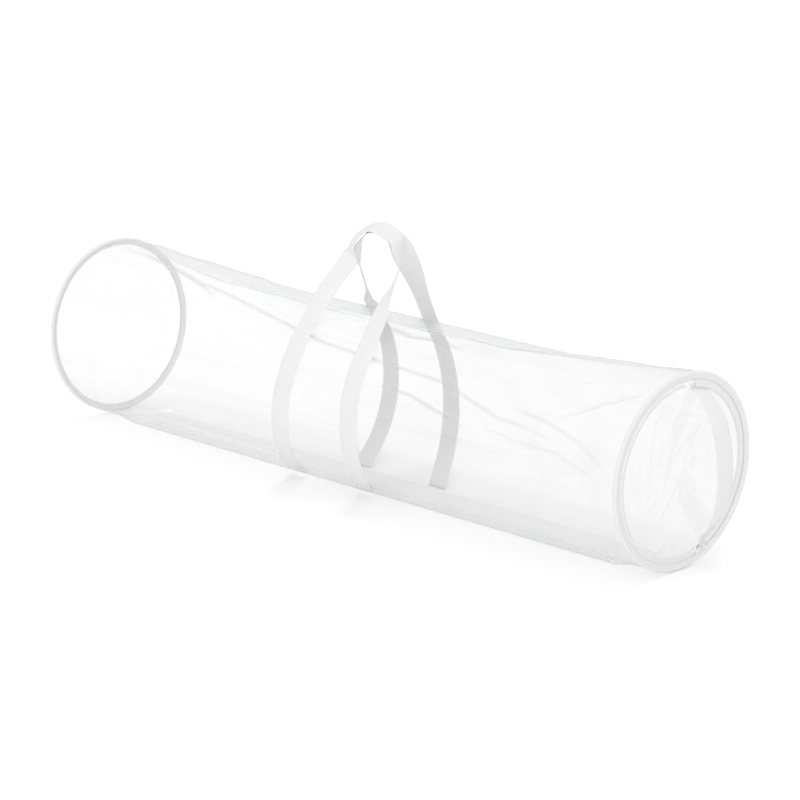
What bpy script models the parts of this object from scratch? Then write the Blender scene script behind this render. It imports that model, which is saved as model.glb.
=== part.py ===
"""A clear tube bag that stores rolls of gift wrap.

Two spring-wire hoops, each inside a sewn piping, hold a vinyl tube open. The far end is
closed by a clear disc. The near end has a zip round most of its rim, which frees a flap that
folds outwards along a straight line, and a webbing strap lies across the part that stays
fixed. Two webbing handles are sewn round the tube, and their free loops meet above it.

X runs along the tube towards the zipped end, -Y is the front and Z is up. The origin is on
the floor, below the middle of the tube. Every length is in metres.
"""

import math

import bmesh
import bpy
from mathutils import Matrix, Vector

# Overall sizes
bag_length = 1.0286
hoop_diameter = 0.244
hoop_lean = math.radians(1.7)
clearance = 0.0003

# Film
film_thickness = 0.0008
rest_flat_width = 0.074
slack_top_middle = math.radians(77)
slack_top_half = math.radians(35)
slack_start = 0.060
flare_length = 0.030

# Hoops and their piping
hoop_wire_diameter = 0.003
hoop_joint_gap = 0.002
ferrule_length = 0.024
ferrule_wall = 0.00025
ferrule_room = 0.00035
piping_wall = 0.0006
piping_lip = 0.0005
seam_allowance = 0.0035

# Zip, measured from the line that the slider follows
slider_room = 0.0004
tooth_row_width = 0.002
tooth_root_width = 0.0007
tooth_groove = 0.0012
tooth_height = 0.0016
tooth_pitch = 0.0046
zip_tape_width = 0.0024
tape_thickness = 0.0008
stop_length = 0.0022
stop_wall = 0.0006
row_end_inset = 0.012
tape_end_inset = 0.0075

# Slider and pull
slider_length = 0.0095
slider_width = 0.0068
slider_plate = 0.001
slider_gap = 0.0026
slider_flange = 0.0005
slider_post_width = 0.0006
slider_post_length = 0.0026
bail_width = 0.0016
bail_thickness = 0.0008
bail_length = 0.0052
pull_length = 0.012
pull_width = 0.005
pull_thickness = 0.001
pull_rail = 0.001
pull_window = 0.0036

# Webbing
webbing_width = 0.030
webbing_thickness = 0.0014
front_left_leg_x = -0.0415
front_right_leg_x = 0.0755
rear_left_leg_x = -0.104
rear_right_leg_x = 0.001
leave_angle = math.radians(39)
handle_rise = 0.1375
handle_stack_share = 0.107
front_leg_end = math.radians(67)
rear_leg_end = math.radians(72)
front_left_drift = -0.055
front_right_drift = -0.0455
rear_left_drift = 0.035
rear_right_drift = 0.070

# End handle and the fold line beside it
fold_share = 0.1746
strap_turn = math.radians(8.74)
strap_top_share = 0.977
strap_bottom_share = 0.933
strap_bulge = 0.033
strap_free_height = 0.006
fold_clearance = 0.0006

# How finely the round pieces are divided
ring_steps = 64
arc_step = math.radians(3.75)
key_steps = 3
sleeve_steps = 9
wire_sides = 6
ferrule_sides = 12
corner_steps = 4
arch_steps = 22
tab_columns = 6
tab_steps = 4
search_steps = 400

# Worked out from the sizes above
axis_height = hoop_diameter / 2
piping_radius = hoop_wire_diameter / 2 + clearance + ferrule_wall + ferrule_room + piping_wall
hoop_radius = axis_height - piping_radius
seam_radius = hoop_radius - piping_radius
lip_radius = seam_radius - seam_allowance
slot_half = film_thickness / 2 + clearance
rim_radius = seam_radius - clearance - slot_half
zip_radius = lip_radius - slider_room - slider_width / 2
row_gap = tooth_groove / 2
tube_tape_inner = zip_radius + row_gap + tooth_row_width + clearance
flap_tape_outer = zip_radius - row_gap - tooth_row_width - clearance
flap_tape_inner = flap_tape_outer - zip_tape_width
end_film_radius = flap_tape_inner - clearance
fold_offset = axis_height * fold_share
strap_offset = fold_offset + fold_clearance + webbing_width / 2
strap_reach = math.sqrt(end_film_radius**2 - (strap_offset + webbing_width / 2) ** 2)
strap_top = strap_reach * strap_top_share
strap_bottom = strap_reach * strap_bottom_share
webbing_seat = clearance + webbing_thickness / 2

# How slack the film's top is, from the hoop to the middle of the tube.
slack_shares = (0.0, 0.15, 0.35, 0.6, 1.0, 1.0)

# Handle loops, as shares: along the leg spacing, out to the leave line, up the rise, then the
# direction across the webbing. The front loop lies on the rear one where they meet.
front_handle_shares = (
    (-1.000, 1.000, 0.000, 1.00, 0.00, 0.00),
    (-1.009, 0.805, 0.156, 1.00, 0.00, 0.00),
    (-0.944, 0.593, 0.371, 0.98, 0.10, -0.05),
    (-0.786, 0.382, 0.585, 0.97, 0.12, -0.12),
    (-0.761, 0.248, 0.669, 0.97, 0.00, -0.23),
    (-0.815, 0.175, 0.716, 0.92, -0.10, -0.17),
    (-0.966, 0.093, 0.771, 0.83, -0.50, 0.21),
    (-0.882, 0.041, 0.855, 0.66, -0.67, -0.18),
    (-0.639, 0.010, 0.949, 0.35, -0.85, -0.30),
    (-0.330, 0.000, 1.000, 0.10, -0.96, -0.25),
    (-0.070, 0.000, 0.992, 0.10, -0.96, -0.25),
    (0.191, 0.000, 0.962, 0.12, -0.96, -0.23),
    (0.347, 0.000, 0.932, 0.15, -0.96, -0.22),
    (0.460, 0.057, 0.896, 0.25, -0.94, -0.18),
    (0.597, 0.129, 0.820, 0.45, -0.88, 0.00),
    (0.769, 0.206, 0.719, 0.69, -0.70, 0.15),
    (0.850, 0.361, 0.580, 0.74, -0.64, 0.15),
    (0.884, 0.537, 0.436, 0.92, -0.38, 0.05),
    (0.930, 0.712, 0.262, 1.00, -0.08, 0.00),
    (0.966, 0.877, 0.105, 1.00, 0.00, 0.00),
    (1.000, 1.000, 0.000, 1.00, 0.00, 0.00),
)
rear_handle_shares = (
    (-1.000, 1.000, 0.000, 1.00, 0.00, 0.00),
    (-0.981, 0.929, 0.063, 1.00, -0.06, 0.00),
    (-0.947, 0.870, 0.112, 0.92, -0.34, 0.08),
    (-0.695, 0.700, 0.242, 0.78, -0.60, 0.15),
    (-0.524, 0.506, 0.462, 0.75, -0.64, 0.15),
    (-0.272, 0.310, 0.652, 0.45, -0.88, -0.10),
    (-0.048, 0.206, 0.785, 0.35, -0.90, -0.20),
    (0.229, 0.155, 0.871, 0.35, -0.90, -0.25),
    (0.486, 0.098, 0.930, 0.28, -0.91, -0.28),
    (0.790, 0.046, 0.991, 0.12, -0.96, -0.25),
    (1.095, 0.046, 1.007, 0.10, -0.96, -0.25),
    (1.400, 0.036, 0.980, 0.10, -0.96, -0.25),
    (1.600, 0.036, 0.943, 0.05, -0.96, -0.25),
    (1.638, 0.129, 0.823, -0.45, -0.80, -0.40),
    (1.514, 0.356, 0.607, -0.85, -0.45, -0.20),
    (1.314, 0.619, 0.357, -1.00, -0.10, 0.00),
    (1.143, 0.836, 0.149, -1.00, 0.00, 0.00),
    (1.000, 1.000, 0.000, -1.00, 0.00, 0.00),
)

# The end handle's arch, as shares of its half length and of its bulge.
arch_shares = (
    (-1.00, 0.00),
    (-0.87, 0.34),
    (-0.70, 0.61),
    (-0.40, 0.88),
    (-0.05, 1.00),
    (0.30, 0.98),
    (0.61, 0.82),
    (0.85, 0.42),
    (1.00, 0.00),
)

# The slider's outline, as shares of half its width and half its length.
slider_outline_shares = (
    (0.55, -1.00),
    (0.86, -0.88),
    (1.00, -0.50),
    (1.00, 0.78),
    (0.72, 1.00),
)
flange_shares = (-0.46, 0.72)
bail_shoulder_share = 0.7
pull_corner_share = 0.6
tooth_flank_share = 0.1
leg_bend_powers = (2, 4)


def clear_scene():
    for old in list(bpy.data.objects):
        bpy.data.objects.remove(old, do_unlink=True)


def make_material(name, colour, roughness, metallic=0.0, alpha=1.0):
    made = bpy.data.materials.new(name)
    made.use_nodes = True
    shader = made.node_tree.nodes["Principled BSDF"]
    shader.inputs["Base Color"].default_value = (*colour, 1.0)
    shader.inputs["Roughness"].default_value = roughness
    shader.inputs["Metallic"].default_value = metallic
    shader.inputs["Alpha"].default_value = alpha
    return made


def make_empty(name, matrix, parent=None):
    """An empty that holds a joint's axis or an end's frame; matrix is in the parent's frame."""
    made = bpy.data.objects.new(name, None)
    bpy.context.scene.collection.objects.link(made)
    made.parent = parent
    made.matrix_local = matrix
    return made


def make_object(name, points, faces, finish, parent=None, frame=None):
    """A closed mesh as a named object. Its points are in the parent's frame, or, where frame
    is given, in the frame that the parent empty stands in."""
    mesh = bpy.data.meshes.new(name)
    mesh.from_pydata([tuple(point) for point in points], [], faces)
    shaped = bmesh.new()
    shaped.from_mesh(mesh)
    bmesh.ops.recalc_face_normals(shaped, faces=shaped.faces)
    shaped.to_mesh(mesh)
    shaped.free()
    if frame is not None:
        mesh.transform(frame.inverted())
    mesh.shade_smooth()
    mesh.set_sharp_from_angle(angle=math.radians(30))
    mesh.materials.append(finish)
    made = bpy.data.objects.new(name, mesh)
    bpy.context.scene.collection.objects.link(made)
    made.parent = parent
    return made


def ring_point(outward, radius, angle):
    """A point in an end's own frame: outward along X, and round it from +Y."""
    return Vector((outward, radius * math.cos(angle), radius * math.sin(angle)))


def loft(sections, closed):
    """Points and faces of equal outlines joined in a row, or in a ring when closed."""
    count = len(sections[0])
    points = [point for section in sections for point in section]
    faces = []
    rows = len(sections)
    for row in range(rows if closed else rows - 1):
        here = row * count
        there = (row + 1) % rows * count
        for index in range(count):
            beside = (index + 1) % count
            faces.append((here + index, here + beside, there + beside, there + index))
    if not closed:
        faces.append(tuple(reversed(range(count))))
        faces.append(tuple(range((rows - 1) * count, rows * count)))
    return points, faces


def slab(lower, upper):
    """Points and faces between two grids of points, closed round their rims."""
    rows = len(lower)
    columns = len(lower[0])
    total = rows * columns
    points = [point for row in lower for point in row]
    points += [point for row in upper for point in row]
    faces = []
    for row in range(rows - 1):
        for column in range(columns - 1):
            first = row * columns + column
            quad = (first, first + 1, first + columns + 1, first + columns)
            faces.append(quad)
            faces.append(tuple(total + index for index in reversed(quad)))
    rim = [(0, column) for column in range(columns)]
    rim += [(row, columns - 1) for row in range(1, rows)]
    rim += [(rows - 1, column) for column in reversed(range(columns - 1))]
    rim += [(row, 0) for row in reversed(range(1, rows - 1))]
    for index, (row, column) in enumerate(rim):
        next_row, next_column = rim[(index + 1) % len(rim)]
        first = row * columns + column
        second = next_row * columns + next_column
        faces.append((first, total + first, total + second, second))
    return points, faces


def prism(outline, low, high):
    """A flat outline of (y, z) points given a thickness along X."""
    count = len(outline)
    points = [Vector((low, y, z)) for y, z in outline]
    points += [Vector((high, y, z)) for y, z in outline]
    faces = [tuple(range(count)), tuple(reversed(range(count, 2 * count)))]
    for index in range(count):
        beside = (index + 1) % count
        faces.append((index, count + index, count + beside, beside))
    return points, faces


def smooth_path(keys):
    """A curve through rows of numbers, with key_steps steps between each two rows."""
    rows = [Vector(key) for key in keys]
    path = []
    last = len(rows) - 1
    for index in range(last):
        before = rows[max(index - 1, 0)]
        start = rows[index]
        end = rows[index + 1]
        after = rows[min(index + 2, last)]
        for step in range(key_steps):
            t = step / key_steps
            bend = 2 * before - 5 * start + 4 * end - after
            pull = 3 * start - before - 3 * end + after
            path.append((2 * start + (end - before) * t + bend * t**2 + pull * t**3) / 2)
    path.append(rows[last])
    return path


def arc_angles(start, end):
    """Angles from start to end, no more than arc_step apart."""
    steps = max(1, math.ceil((end - start) / arc_step))
    return [start + (end - start) * step / steps for step in range(steps + 1)]


def ring_strip(inner, outer, half_thickness, start, end):
    """A flat strip that follows part of an end's rim."""
    sections = []
    for angle in arc_angles(start, end):
        sections.append(
            (
                ring_point(-half_thickness, inner, angle),
                ring_point(-half_thickness, outer, angle),
                ring_point(half_thickness, outer, angle),
                ring_point(half_thickness, inner, angle),
            )
        )
    return loft(sections, closed=False)


# The tube's section: round, with a flat strip where it rests on the floor and a slack top.
def film_radius(radius, angle, flat_share, slack_share):
    flat_angle = math.atan(rest_flat_width / 2 / axis_height) * flat_share
    from_bottom = abs((angle + math.pi / 2 + math.pi) % math.tau - math.pi)
    turn = min(from_bottom, max(2 * flat_angle - from_bottom, 0.0))
    slack_angle = slack_top_half * slack_share
    from_slack = abs((angle - slack_top_middle + math.pi) % math.tau - math.pi)
    if from_slack < slack_angle:
        return radius * math.cos(slack_angle) / math.cos(from_slack)
    return radius / math.cos(turn)


def film_point(along, radius, angle, flat_share=1.0, slack_share=1.0):
    """A point of the film's outer surface, or of one parallel to it, at X = along."""
    reach = film_radius(radius, angle, flat_share, slack_share)
    rise = reach * math.sin(angle)
    lean = math.tan(hoop_lean * 2 * along / bag_length)
    return Vector((along + rise * lean, reach * math.cos(angle), axis_height + rise))


def film_facet_point(along, radius, angle):
    """The same surface as the film's facets have it, between the angles it is divided at."""
    step = math.tau / ring_steps
    below = math.floor(angle / step + 0.5 / ring_steps) * step
    share = (angle - below) / step
    start = film_point(along, radius, below)
    end = film_point(along, radius, below + step)
    return start.lerp(end, share)


def add_tube_film(finish):
    half = bag_length / 2 - piping_radius - clearance
    end_radius = hoop_radius + film_thickness / 2
    mid_flare = (axis_height + end_radius) / 2
    places = (half, half - flare_length / 3, half - flare_length, half - slack_start, half / 2, 0)
    radii = (end_radius, mid_flare, axis_height, axis_height, axis_height, axis_height)
    flats = (0, 0, 0, 1, 1, 1)
    stations = list(zip(places, radii, flats, slack_shares))
    stations += [(-along, *rest) for along, *rest in reversed(stations[:-1])]
    angles = [math.tau * step / ring_steps for step in range(ring_steps)]
    sections = []
    for along, radius, flat, slack in stations:
        sections.append([film_point(along, radius, angle, flat, slack) for angle in angles])
    for along, radius, flat, slack in reversed(stations):
        bore = radius - film_thickness
        sections.append([film_point(along, bore, angle, flat, slack) for angle in angles])
    points, faces = loft(sections, closed=True)
    make_object("tube_film", points, faces, finish)


def piping_profile():
    """The sleeve round the hoop's wire and its two lips, as (outward, radial) offsets."""
    outer = piping_radius
    bore = piping_radius - piping_wall
    lip_out = slot_half + piping_lip
    lip_end = lip_radius - hoop_radius
    outer_start = math.asin(lip_out / outer)
    bore_start = math.asin(slot_half / bore)
    profile = [(lip_out, lip_end)]
    for step in range(sleeve_steps + 1):
        turn = outer_start + (math.tau - 2 * outer_start) * step / sleeve_steps
        profile.append((outer * math.sin(turn), -outer * math.cos(turn)))
    profile.append((-lip_out, lip_end))
    profile.append((-slot_half, lip_end))
    for step in range(sleeve_steps + 1):
        turn = bore_start + (math.tau - 2 * bore_start) * step / sleeve_steps
        profile.append((-bore * math.sin(turn), -bore * math.cos(turn)))
    profile.append((slot_half, lip_end))
    return profile


def add_piping(name, finish, end):
    profile = piping_profile()
    sections = []
    for step in range(ring_steps):
        angle = math.tau * step / ring_steps
        section = [ring_point(out, hoop_radius + rise, angle) for out, rise in profile]
        sections.append(section)
    points, faces = loft(sections, closed=True)
    make_object(name, points, faces, finish, end)


def wire_section(radius, angle, sides):
    """A round section of the hoop, where it passes the given angle."""
    turns = [math.tau * side / sides for side in range(sides)]
    return [
        ring_point(radius * math.cos(turn), hoop_radius + radius * math.sin(turn), angle)
        for turn in turns
    ]


def add_hoop(name, finish, end):
    """Spring wire in an open ring, with its ends a little apart at the back."""
    half_gap = hoop_joint_gap / hoop_radius / 2
    angles = [math.tau * step / ring_steps for step in range(1, ring_steps)]
    angles = [half_gap] + angles + [math.tau - half_gap]
    sections = [wire_section(hoop_wire_diameter / 2, angle, wire_sides) for angle in angles]
    points, faces = loft(sections, closed=False)
    make_object(name, points, faces, finish, end)


def add_ferrule(name, finish, end):
    """The crimped sleeve that the hoop's two ends go into."""
    half_turn = ferrule_length / hoop_radius / 2
    bore = hoop_wire_diameter / 2 + clearance
    step = math.tau / ring_steps
    angles = [index * step for index in range(int(half_turn / step) + 1)] + [half_turn]
    angles = [-angle for angle in reversed(angles[1:])] + angles
    sections = [wire_section(bore + ferrule_wall, angle, ferrule_sides) for angle in angles]
    sections += [wire_section(bore, angle, ferrule_sides) for angle in reversed(angles)]
    points, faces = loft(sections, closed=True)
    make_object(name, points, faces, finish, end)


def add_left_end_film(finish, end):
    outline = []
    for step in range(ring_steps):
        angle = math.tau * step / ring_steps
        outline.append((rim_radius * math.cos(angle), rim_radius * math.sin(angle)))
    points, faces = prism(outline, -film_thickness / 2, film_thickness / 2)
    make_object("left_end_film", points, faces, finish, end)


# The zipped end is laid out from the fold line: 'across' is the distance from the tube's axis
# towards the fixed segment, and 'up' runs along the fold line.
def end_point(outward, across, up):
    return Vector(
        (
            outward,
            across * math.cos(strap_turn) - up * math.sin(strap_turn),
            across * math.sin(strap_turn) + up * math.cos(strap_turn),
        )
    )


def angle_at(across, radius):
    """How far round from the strap's side a rim point lies, at this distance across."""
    return math.acos(across / radius)


def fold_arc(across, radius, keep_flap):
    """The rim angles of the flap's part of a disc, or of the fixed segment's."""
    turn = angle_at(across, radius)
    if keep_flap:
        return strap_turn + turn, strap_turn + math.tau - turn
    return strap_turn - turn, strap_turn + turn


def add_end_disc_part(name, keep_flap, finish, parent, frame=None):
    side = -1 if keep_flap else 1
    edge = fold_offset + side * clearance / 2
    start, end = fold_arc(edge, end_film_radius, keep_flap)
    outline = []
    for angle in arc_angles(start, end):
        outline.append(
            (end_film_radius * math.cos(angle), end_film_radius * math.sin(angle))
        )
    points, faces = prism(outline, -film_thickness / 2, film_thickness / 2)
    make_object(name, points, faces, finish, parent, frame)


def park_angles():
    """The slider's two end positions, just past the fold line: upper and lower."""
    turn = angle_at(fold_offset + slider_width / 3, zip_radius)
    return strap_turn + turn, strap_turn + math.tau - turn


def stop_angles():
    """Where the stops begin, one slider's half length and a clearance beyond each end."""
    upper, lower = park_angles()
    reach = (slider_length / 2 + 2 * clearance) / zip_radius
    return upper - reach, lower + reach


def add_zip_tapes(finish, end, flap, flap_frame):
    upper_stop, lower_stop = stop_angles()
    past = (stop_length + 2 * clearance) / zip_radius
    points, faces = ring_strip(
        tube_tape_inner, rim_radius, tape_thickness / 2, upper_stop - past, lower_stop + past
    )
    make_object("zip_tape_tube_side", points, faces, finish, end)
    start, finish_angle = fold_arc(fold_offset - tape_end_inset, flap_tape_outer, True)
    points, faces = ring_strip(
        flap_tape_inner, flap_tape_outer, tape_thickness / 2, start, finish_angle
    )
    make_object("zip_tape_flap_side", points, faces, finish, flap, flap_frame)
    points, faces = ring_strip(
        end_film_radius + clearance,
        rim_radius,
        tape_thickness / 2,
        lower_stop + past + clearance / zip_radius,
        upper_stop - past - clearance / zip_radius + math.tau,
    )
    make_object("segment_binding", points, faces, finish, end)


def tooth_row(back_radius, head_radius, start, end, shift_share):
    """A comb: a back strip that follows the rim, with teeth towards the groove."""
    pitch = tooth_pitch / zip_radius
    back_side = 1 if back_radius > head_radius else -1
    root_radius = back_radius - back_side * tooth_root_width
    count = int((end - start) / pitch) - 1
    first = start + shift_share * pitch
    flank = tooth_flank_share
    tooth_shares = ((flank, root_radius), (2 * flank, head_radius))
    tooth_shares += ((0.5 - flank / 2, head_radius), (0.5 + flank / 2, root_radius))
    outline = []
    for index in range(count):
        angle = first + index * pitch
        outline.append([(back_radius, angle), (root_radius, angle)])
        for share, radius in tooth_shares:
            outline[-1].append((radius, angle + share * pitch))
    outline.append([(back_radius, first + count * pitch), (root_radius, first + count * pitch)])
    points = []
    starts = []
    for cell in outline:
        starts.append(len(points))
        for radius, angle in cell:
            points.append(ring_point(-tooth_height / 2, radius, angle))
            points.append(ring_point(tooth_height / 2, radius, angle))
    faces = []
    for index in range(count):
        here = starts[index]
        there = starts[index + 1]
        front = [here + 2 * item for item in range(1, 6)] + [there + 2]
        lower = [here] + front + [there]
        faces.append(tuple(lower))
        faces.append(tuple(point + 1 for point in reversed(lower)))
        faces.append((here, there, there + 1, here + 1))
        for item in range(len(front) - 1):
            low, high = front[item], front[item + 1]
            faces.append((low, low + 1, high + 1, high))
    last = starts[-1]
    faces.append((starts[0], starts[0] + 1, starts[0] + 3, starts[0] + 2))
    faces.append((last, last + 2, last + 3, last + 1))
    return points, faces


def add_tooth_rows(finish, end, flap, flap_frame):
    upper_stop, lower_stop = stop_angles()
    inset = clearance / zip_radius
    points, faces = tooth_row(
        zip_radius + row_gap + tooth_row_width,
        zip_radius + row_gap,
        upper_stop + inset,
        lower_stop - inset,
        0.0,
    )
    make_object("zip_teeth_tube_side", points, faces, finish, end)
    start, finish_angle = fold_arc(fold_offset - row_end_inset, zip_radius, True)
    points, faces = tooth_row(
        zip_radius - row_gap - tooth_row_width,
        zip_radius - row_gap,
        start,
        finish_angle,
        0.5,
    )
    make_object("zip_teeth_flap_side", points, faces, finish, flap, flap_frame)


def add_zip_stop(name, start, finish, end):
    """A metal clip, U-shaped in section, pressed over the inner edge of the tape."""
    inner = zip_radius + row_gap
    mouth = tube_tape_inner + (lip_radius - tube_tape_inner) / 2
    grip = tape_thickness / 2 + clearance
    outside = grip + stop_wall
    web = tube_tape_inner - clearance
    profile = (
        (-outside, inner),
        (outside, inner),
        (outside, mouth),
        (grip, mouth),
        (grip, web),
        (-grip, web),
        (-grip, mouth),
        (-outside, mouth),
    )
    turn = stop_length / zip_radius
    sections = []
    for angle in (start, start + turn):
        sections.append([ring_point(out, radius, angle) for out, radius in profile])
    points, faces = loft(sections, closed=False)
    make_object(name, points, faces, finish, end)


def box_mesh(low, high):
    """A box between two corners, for the slider's and the pull's Boolean unions."""
    outline = ((low[1], low[2]), (high[1], low[2]), (high[1], high[2]), (low[1], high[2]))
    return prism(outline, low[0], high[0])


def unite(base, name, shape, finish, parent):
    """Joins one more shape to an object with a Boolean union."""
    points, faces = shape
    tool = make_object(name, points, faces, finish, parent)
    tool.hide_render = True
    tool.display_type = "WIRE"
    join = base.modifiers.new(name, "BOOLEAN")
    join.operation = "UNION"
    join.solver = "EXACT"
    join.object = tool


def add_slider(finish, holder):
    """Two plates joined by a post that runs in the groove, with flanges and a bail. In its
    holder's frame X points out of the disc, Y is radial and Z is along the zip."""
    half_gap = slider_gap / 2
    half_width = slider_width / 2
    half_length = slider_length / 2
    outline = [
        (zip_radius + side * half_width, along * half_length)
        for side, along in slider_outline_shares
    ]
    outline += [
        (zip_radius - side * half_width, along * half_length)
        for side, along in reversed(slider_outline_shares)
    ]
    points, faces = prism(outline, half_gap, half_gap + slider_plate)
    slider = make_object("zip_slider", points, faces, finish, holder)
    lower = prism(outline, -half_gap - slider_plate, -half_gap)
    unite(slider, "slider_lower_plate", lower, finish, holder)
    post_half = slider_post_width / 2
    post_z = half_length * flange_shares[1]
    into = slider_plate / 2
    post_outline = (
        (zip_radius, post_z - slider_post_length),
        (zip_radius + post_half, post_z - slider_post_length / 2),
        (zip_radius + post_half, post_z),
        (zip_radius - post_half, post_z),
        (zip_radius - post_half, post_z - slider_post_length / 2),
    )
    post = prism(post_outline, -half_gap - into, half_gap + into)
    unite(slider, "slider_post", post, finish, holder)
    flange_foot = tape_thickness / 2 + clearance
    behind, ahead = (half_length * share for share in flange_shares)
    for side in (-1, 1):
        edge = zip_radius + side * half_width
        near, far = sorted((edge, edge - side * slider_flange))
        for face in (-1, 1):
            low, high = sorted((face * flange_foot, face * (half_gap + into)))
            flange = box_mesh((low, near, behind), (high, far, ahead))
            label = "slider_flange_" + ("a" if side > 0 else "b") + ("a" if face > 0 else "b")
            unite(slider, label, flange, finish, holder)
    top = half_gap + slider_plate
    arch_inner = top + 2 * clearance + pull_thickness
    arch_outer = arch_inner + bail_thickness
    half_bail = bail_length / 2
    foot = top - into
    leg = bail_thickness
    shoulder = foot + (arch_inner - foot) * bail_shoulder_share
    bail_profile = (
        (foot, -half_bail),
        (foot, -half_bail + leg),
        (shoulder, -half_bail + leg),
        (arch_inner, -half_bail + leg + leg / 2),
        (arch_inner, half_bail - leg - leg / 2),
        (shoulder, half_bail - leg),
        (foot, half_bail - leg),
        (foot, half_bail),
        (arch_inner, half_bail),
        (arch_outer, half_bail - leg),
        (arch_outer, -half_bail + leg),
        (arch_inner, -half_bail),
    )
    sections = []
    for side in (-1, 1):
        radius = zip_radius + side * bail_width / 2
        sections.append([Vector((out, radius, along)) for out, along in bail_profile])
    unite(slider, "slider_bail", loft(sections, closed=False), finish, holder)


def add_pull(finish, holder):
    """A flat tab with a window that takes the bail. Its crossbar lies on the holder's Y axis,
    and the tab points along -Z."""
    half_width = pull_width / 2
    half_thickness = pull_thickness / 2
    near = half_thickness
    bar = box_mesh(
        (-half_thickness, -half_width, -near), (half_thickness, half_width, near)
    )
    pull = make_object("zip_pull", *bar, finish, holder)
    overlap = half_thickness / 2
    for side in (-1, 1):
        low, high = sorted((side * half_width, side * (half_width - pull_rail)))
        rail = box_mesh(
            (-half_thickness, low, -pull_window - overlap),
            (half_thickness, high, -near + overlap),
        )
        unite(pull, "pull_rail_" + ("a" if side > 0 else "b"), rail, finish, holder)
    corner = half_width * pull_corner_share
    turns = [math.pi / 2 * step / corner_steps for step in range(corner_steps + 1)]
    rounded = []
    for turn in turns:
        across = half_width - corner + corner * math.cos(turn)
        rounded.append((across, -pull_length + corner - corner * math.sin(turn)))
    tab_outline = [(-half_width, -pull_window), (half_width, -pull_window)]
    tab_outline += rounded
    tab_outline += [(-across, along) for across, along in reversed(rounded)]
    tab = prism(tab_outline, -half_thickness, half_thickness)
    unite(pull, "pull_tab", tab, finish, holder)


def strap_rise(up):
    """The height of the end handle's middle above its sewn ends, at this distance up."""
    middle = (strap_top - strap_bottom) / 2
    half = (strap_top + strap_bottom) / 2
    share = (up - middle) / half
    path = smooth_path(arch_shares)
    for before, after in zip(path, path[1:]):
        if before.x <= share <= after.x:
            part = (share - before.x) / (after.x - before.x)
            return strap_bulge * (before.y + (after.y - before.y) * part)
    return 0.0


def free_limits():
    """Where the end handle's arch reaches strap_free_height, at its top and its bottom."""
    free = []
    for step in range(search_steps + 1):
        up = -strap_bottom + (strap_top + strap_bottom) * step / search_steps
        if strap_rise(up) >= strap_free_height:
            free.append(up)
    return free[-1], free[0]


def strap_seat():
    return film_thickness / 2 + webbing_seat


def add_end_handle(finish, end, holder, holder_frame):
    """The arch of the strap between its two tabs, cut square to the fold line at its ends."""
    upper, lower = free_limits()
    low_rows = []
    high_rows = []
    nudge = (upper - lower) / search_steps
    for step in range(arch_steps + 1):
        up = lower + clearance / 2 + (upper - lower - clearance) * step / arch_steps
        slope = (strap_rise(up + nudge) - strap_rise(up - nudge)) / (2 * nudge)
        square_end = step in (0, arch_steps)
        tilt = 0.0 if square_end else math.atan(slope)
        thickness = webbing_thickness * (math.cos(math.atan(slope)) if square_end else 1.0)
        height = strap_seat() + strap_rise(up)
        for rows, side in ((low_rows, -1), (high_rows, 1)):
            out = height + side * thickness / 2 * math.cos(tilt)
            shifted = up - side * thickness / 2 * math.sin(tilt)
            row = []
            for edge in (-1, 0, 1):
                row.append(end_point(out, strap_offset + edge * webbing_width / 2, shifted))
            rows.append(row)
    points, faces = slab(low_rows, high_rows)
    make_object("end_handle", points, faces, finish, holder, holder_frame)


def add_strap_tab(name, side, finish, end):
    """A sewn end of the end handle: cut to the rim, flat on the film, then rising."""
    upper, lower = free_limits()
    inner_end = strap_top if side > 0 else -strap_bottom
    free_end = (upper if side > 0 else lower) + side * clearance / 2
    low_rows = []
    high_rows = []
    for column in range(tab_columns + 1):
        across = strap_offset - webbing_width / 2 + webbing_width * column / tab_columns
        rim = side * math.sqrt(end_film_radius**2 - across**2)
        ups = [rim, inner_end + side * clearance]
        for step in range(1, tab_steps + 1):
            ups.append(inner_end + (free_end - inner_end) * step / tab_steps)
        low_row = []
        high_row = []
        for up in ups:
            height = strap_seat() + strap_rise(up)
            low_row.append(end_point(height - webbing_thickness / 2, across, up))
            high_row.append(end_point(height + webbing_thickness / 2, across, up))
        low_rows.append(low_row)
        high_rows.append(high_row)
    points, faces = slab(low_rows, high_rows)
    make_object(name, points, faces, finish, end)


def add_leg(name, leg_x, drift, power, start, end, finish):
    """Webbing sewn flat round the tube, from where the handle leaves it down to its cut end.
    It drifts along the tube as it goes down."""
    step = math.tau / ring_steps
    low, high = sorted((start, end))
    angles = [low]
    angle = math.ceil(low / step + 0.01) * step
    while angle < high - step / 100:
        angles.append(angle)
        angle += step
    angles.append(high)
    low_rows = []
    high_rows = []
    for angle in angles:
        share = abs(angle - start) / abs(end - start)
        along = leg_x + drift * share**power
        for rows, layer in ((low_rows, 0), (high_rows, 1)):
            radius = axis_height + clearance + layer * webbing_thickness
            rows.append(
                [
                    film_facet_point(along + side * webbing_width / 2, radius, angle)
                    for side in (-1, 1)
                ]
            )
    points, faces = slab(low_rows, high_rows)
    make_object(name, points, faces, finish)


def handle_pivot(front):
    """The line that a handle swings about: over the legs' ends, clear by one clearance."""
    radius = axis_height + 2 * clearance + webbing_thickness + webbing_thickness / 2
    side = -1 if front else 1
    return Vector(
        (0, side * radius * math.cos(leave_angle), axis_height + radius * math.sin(leave_angle))
    )


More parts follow.
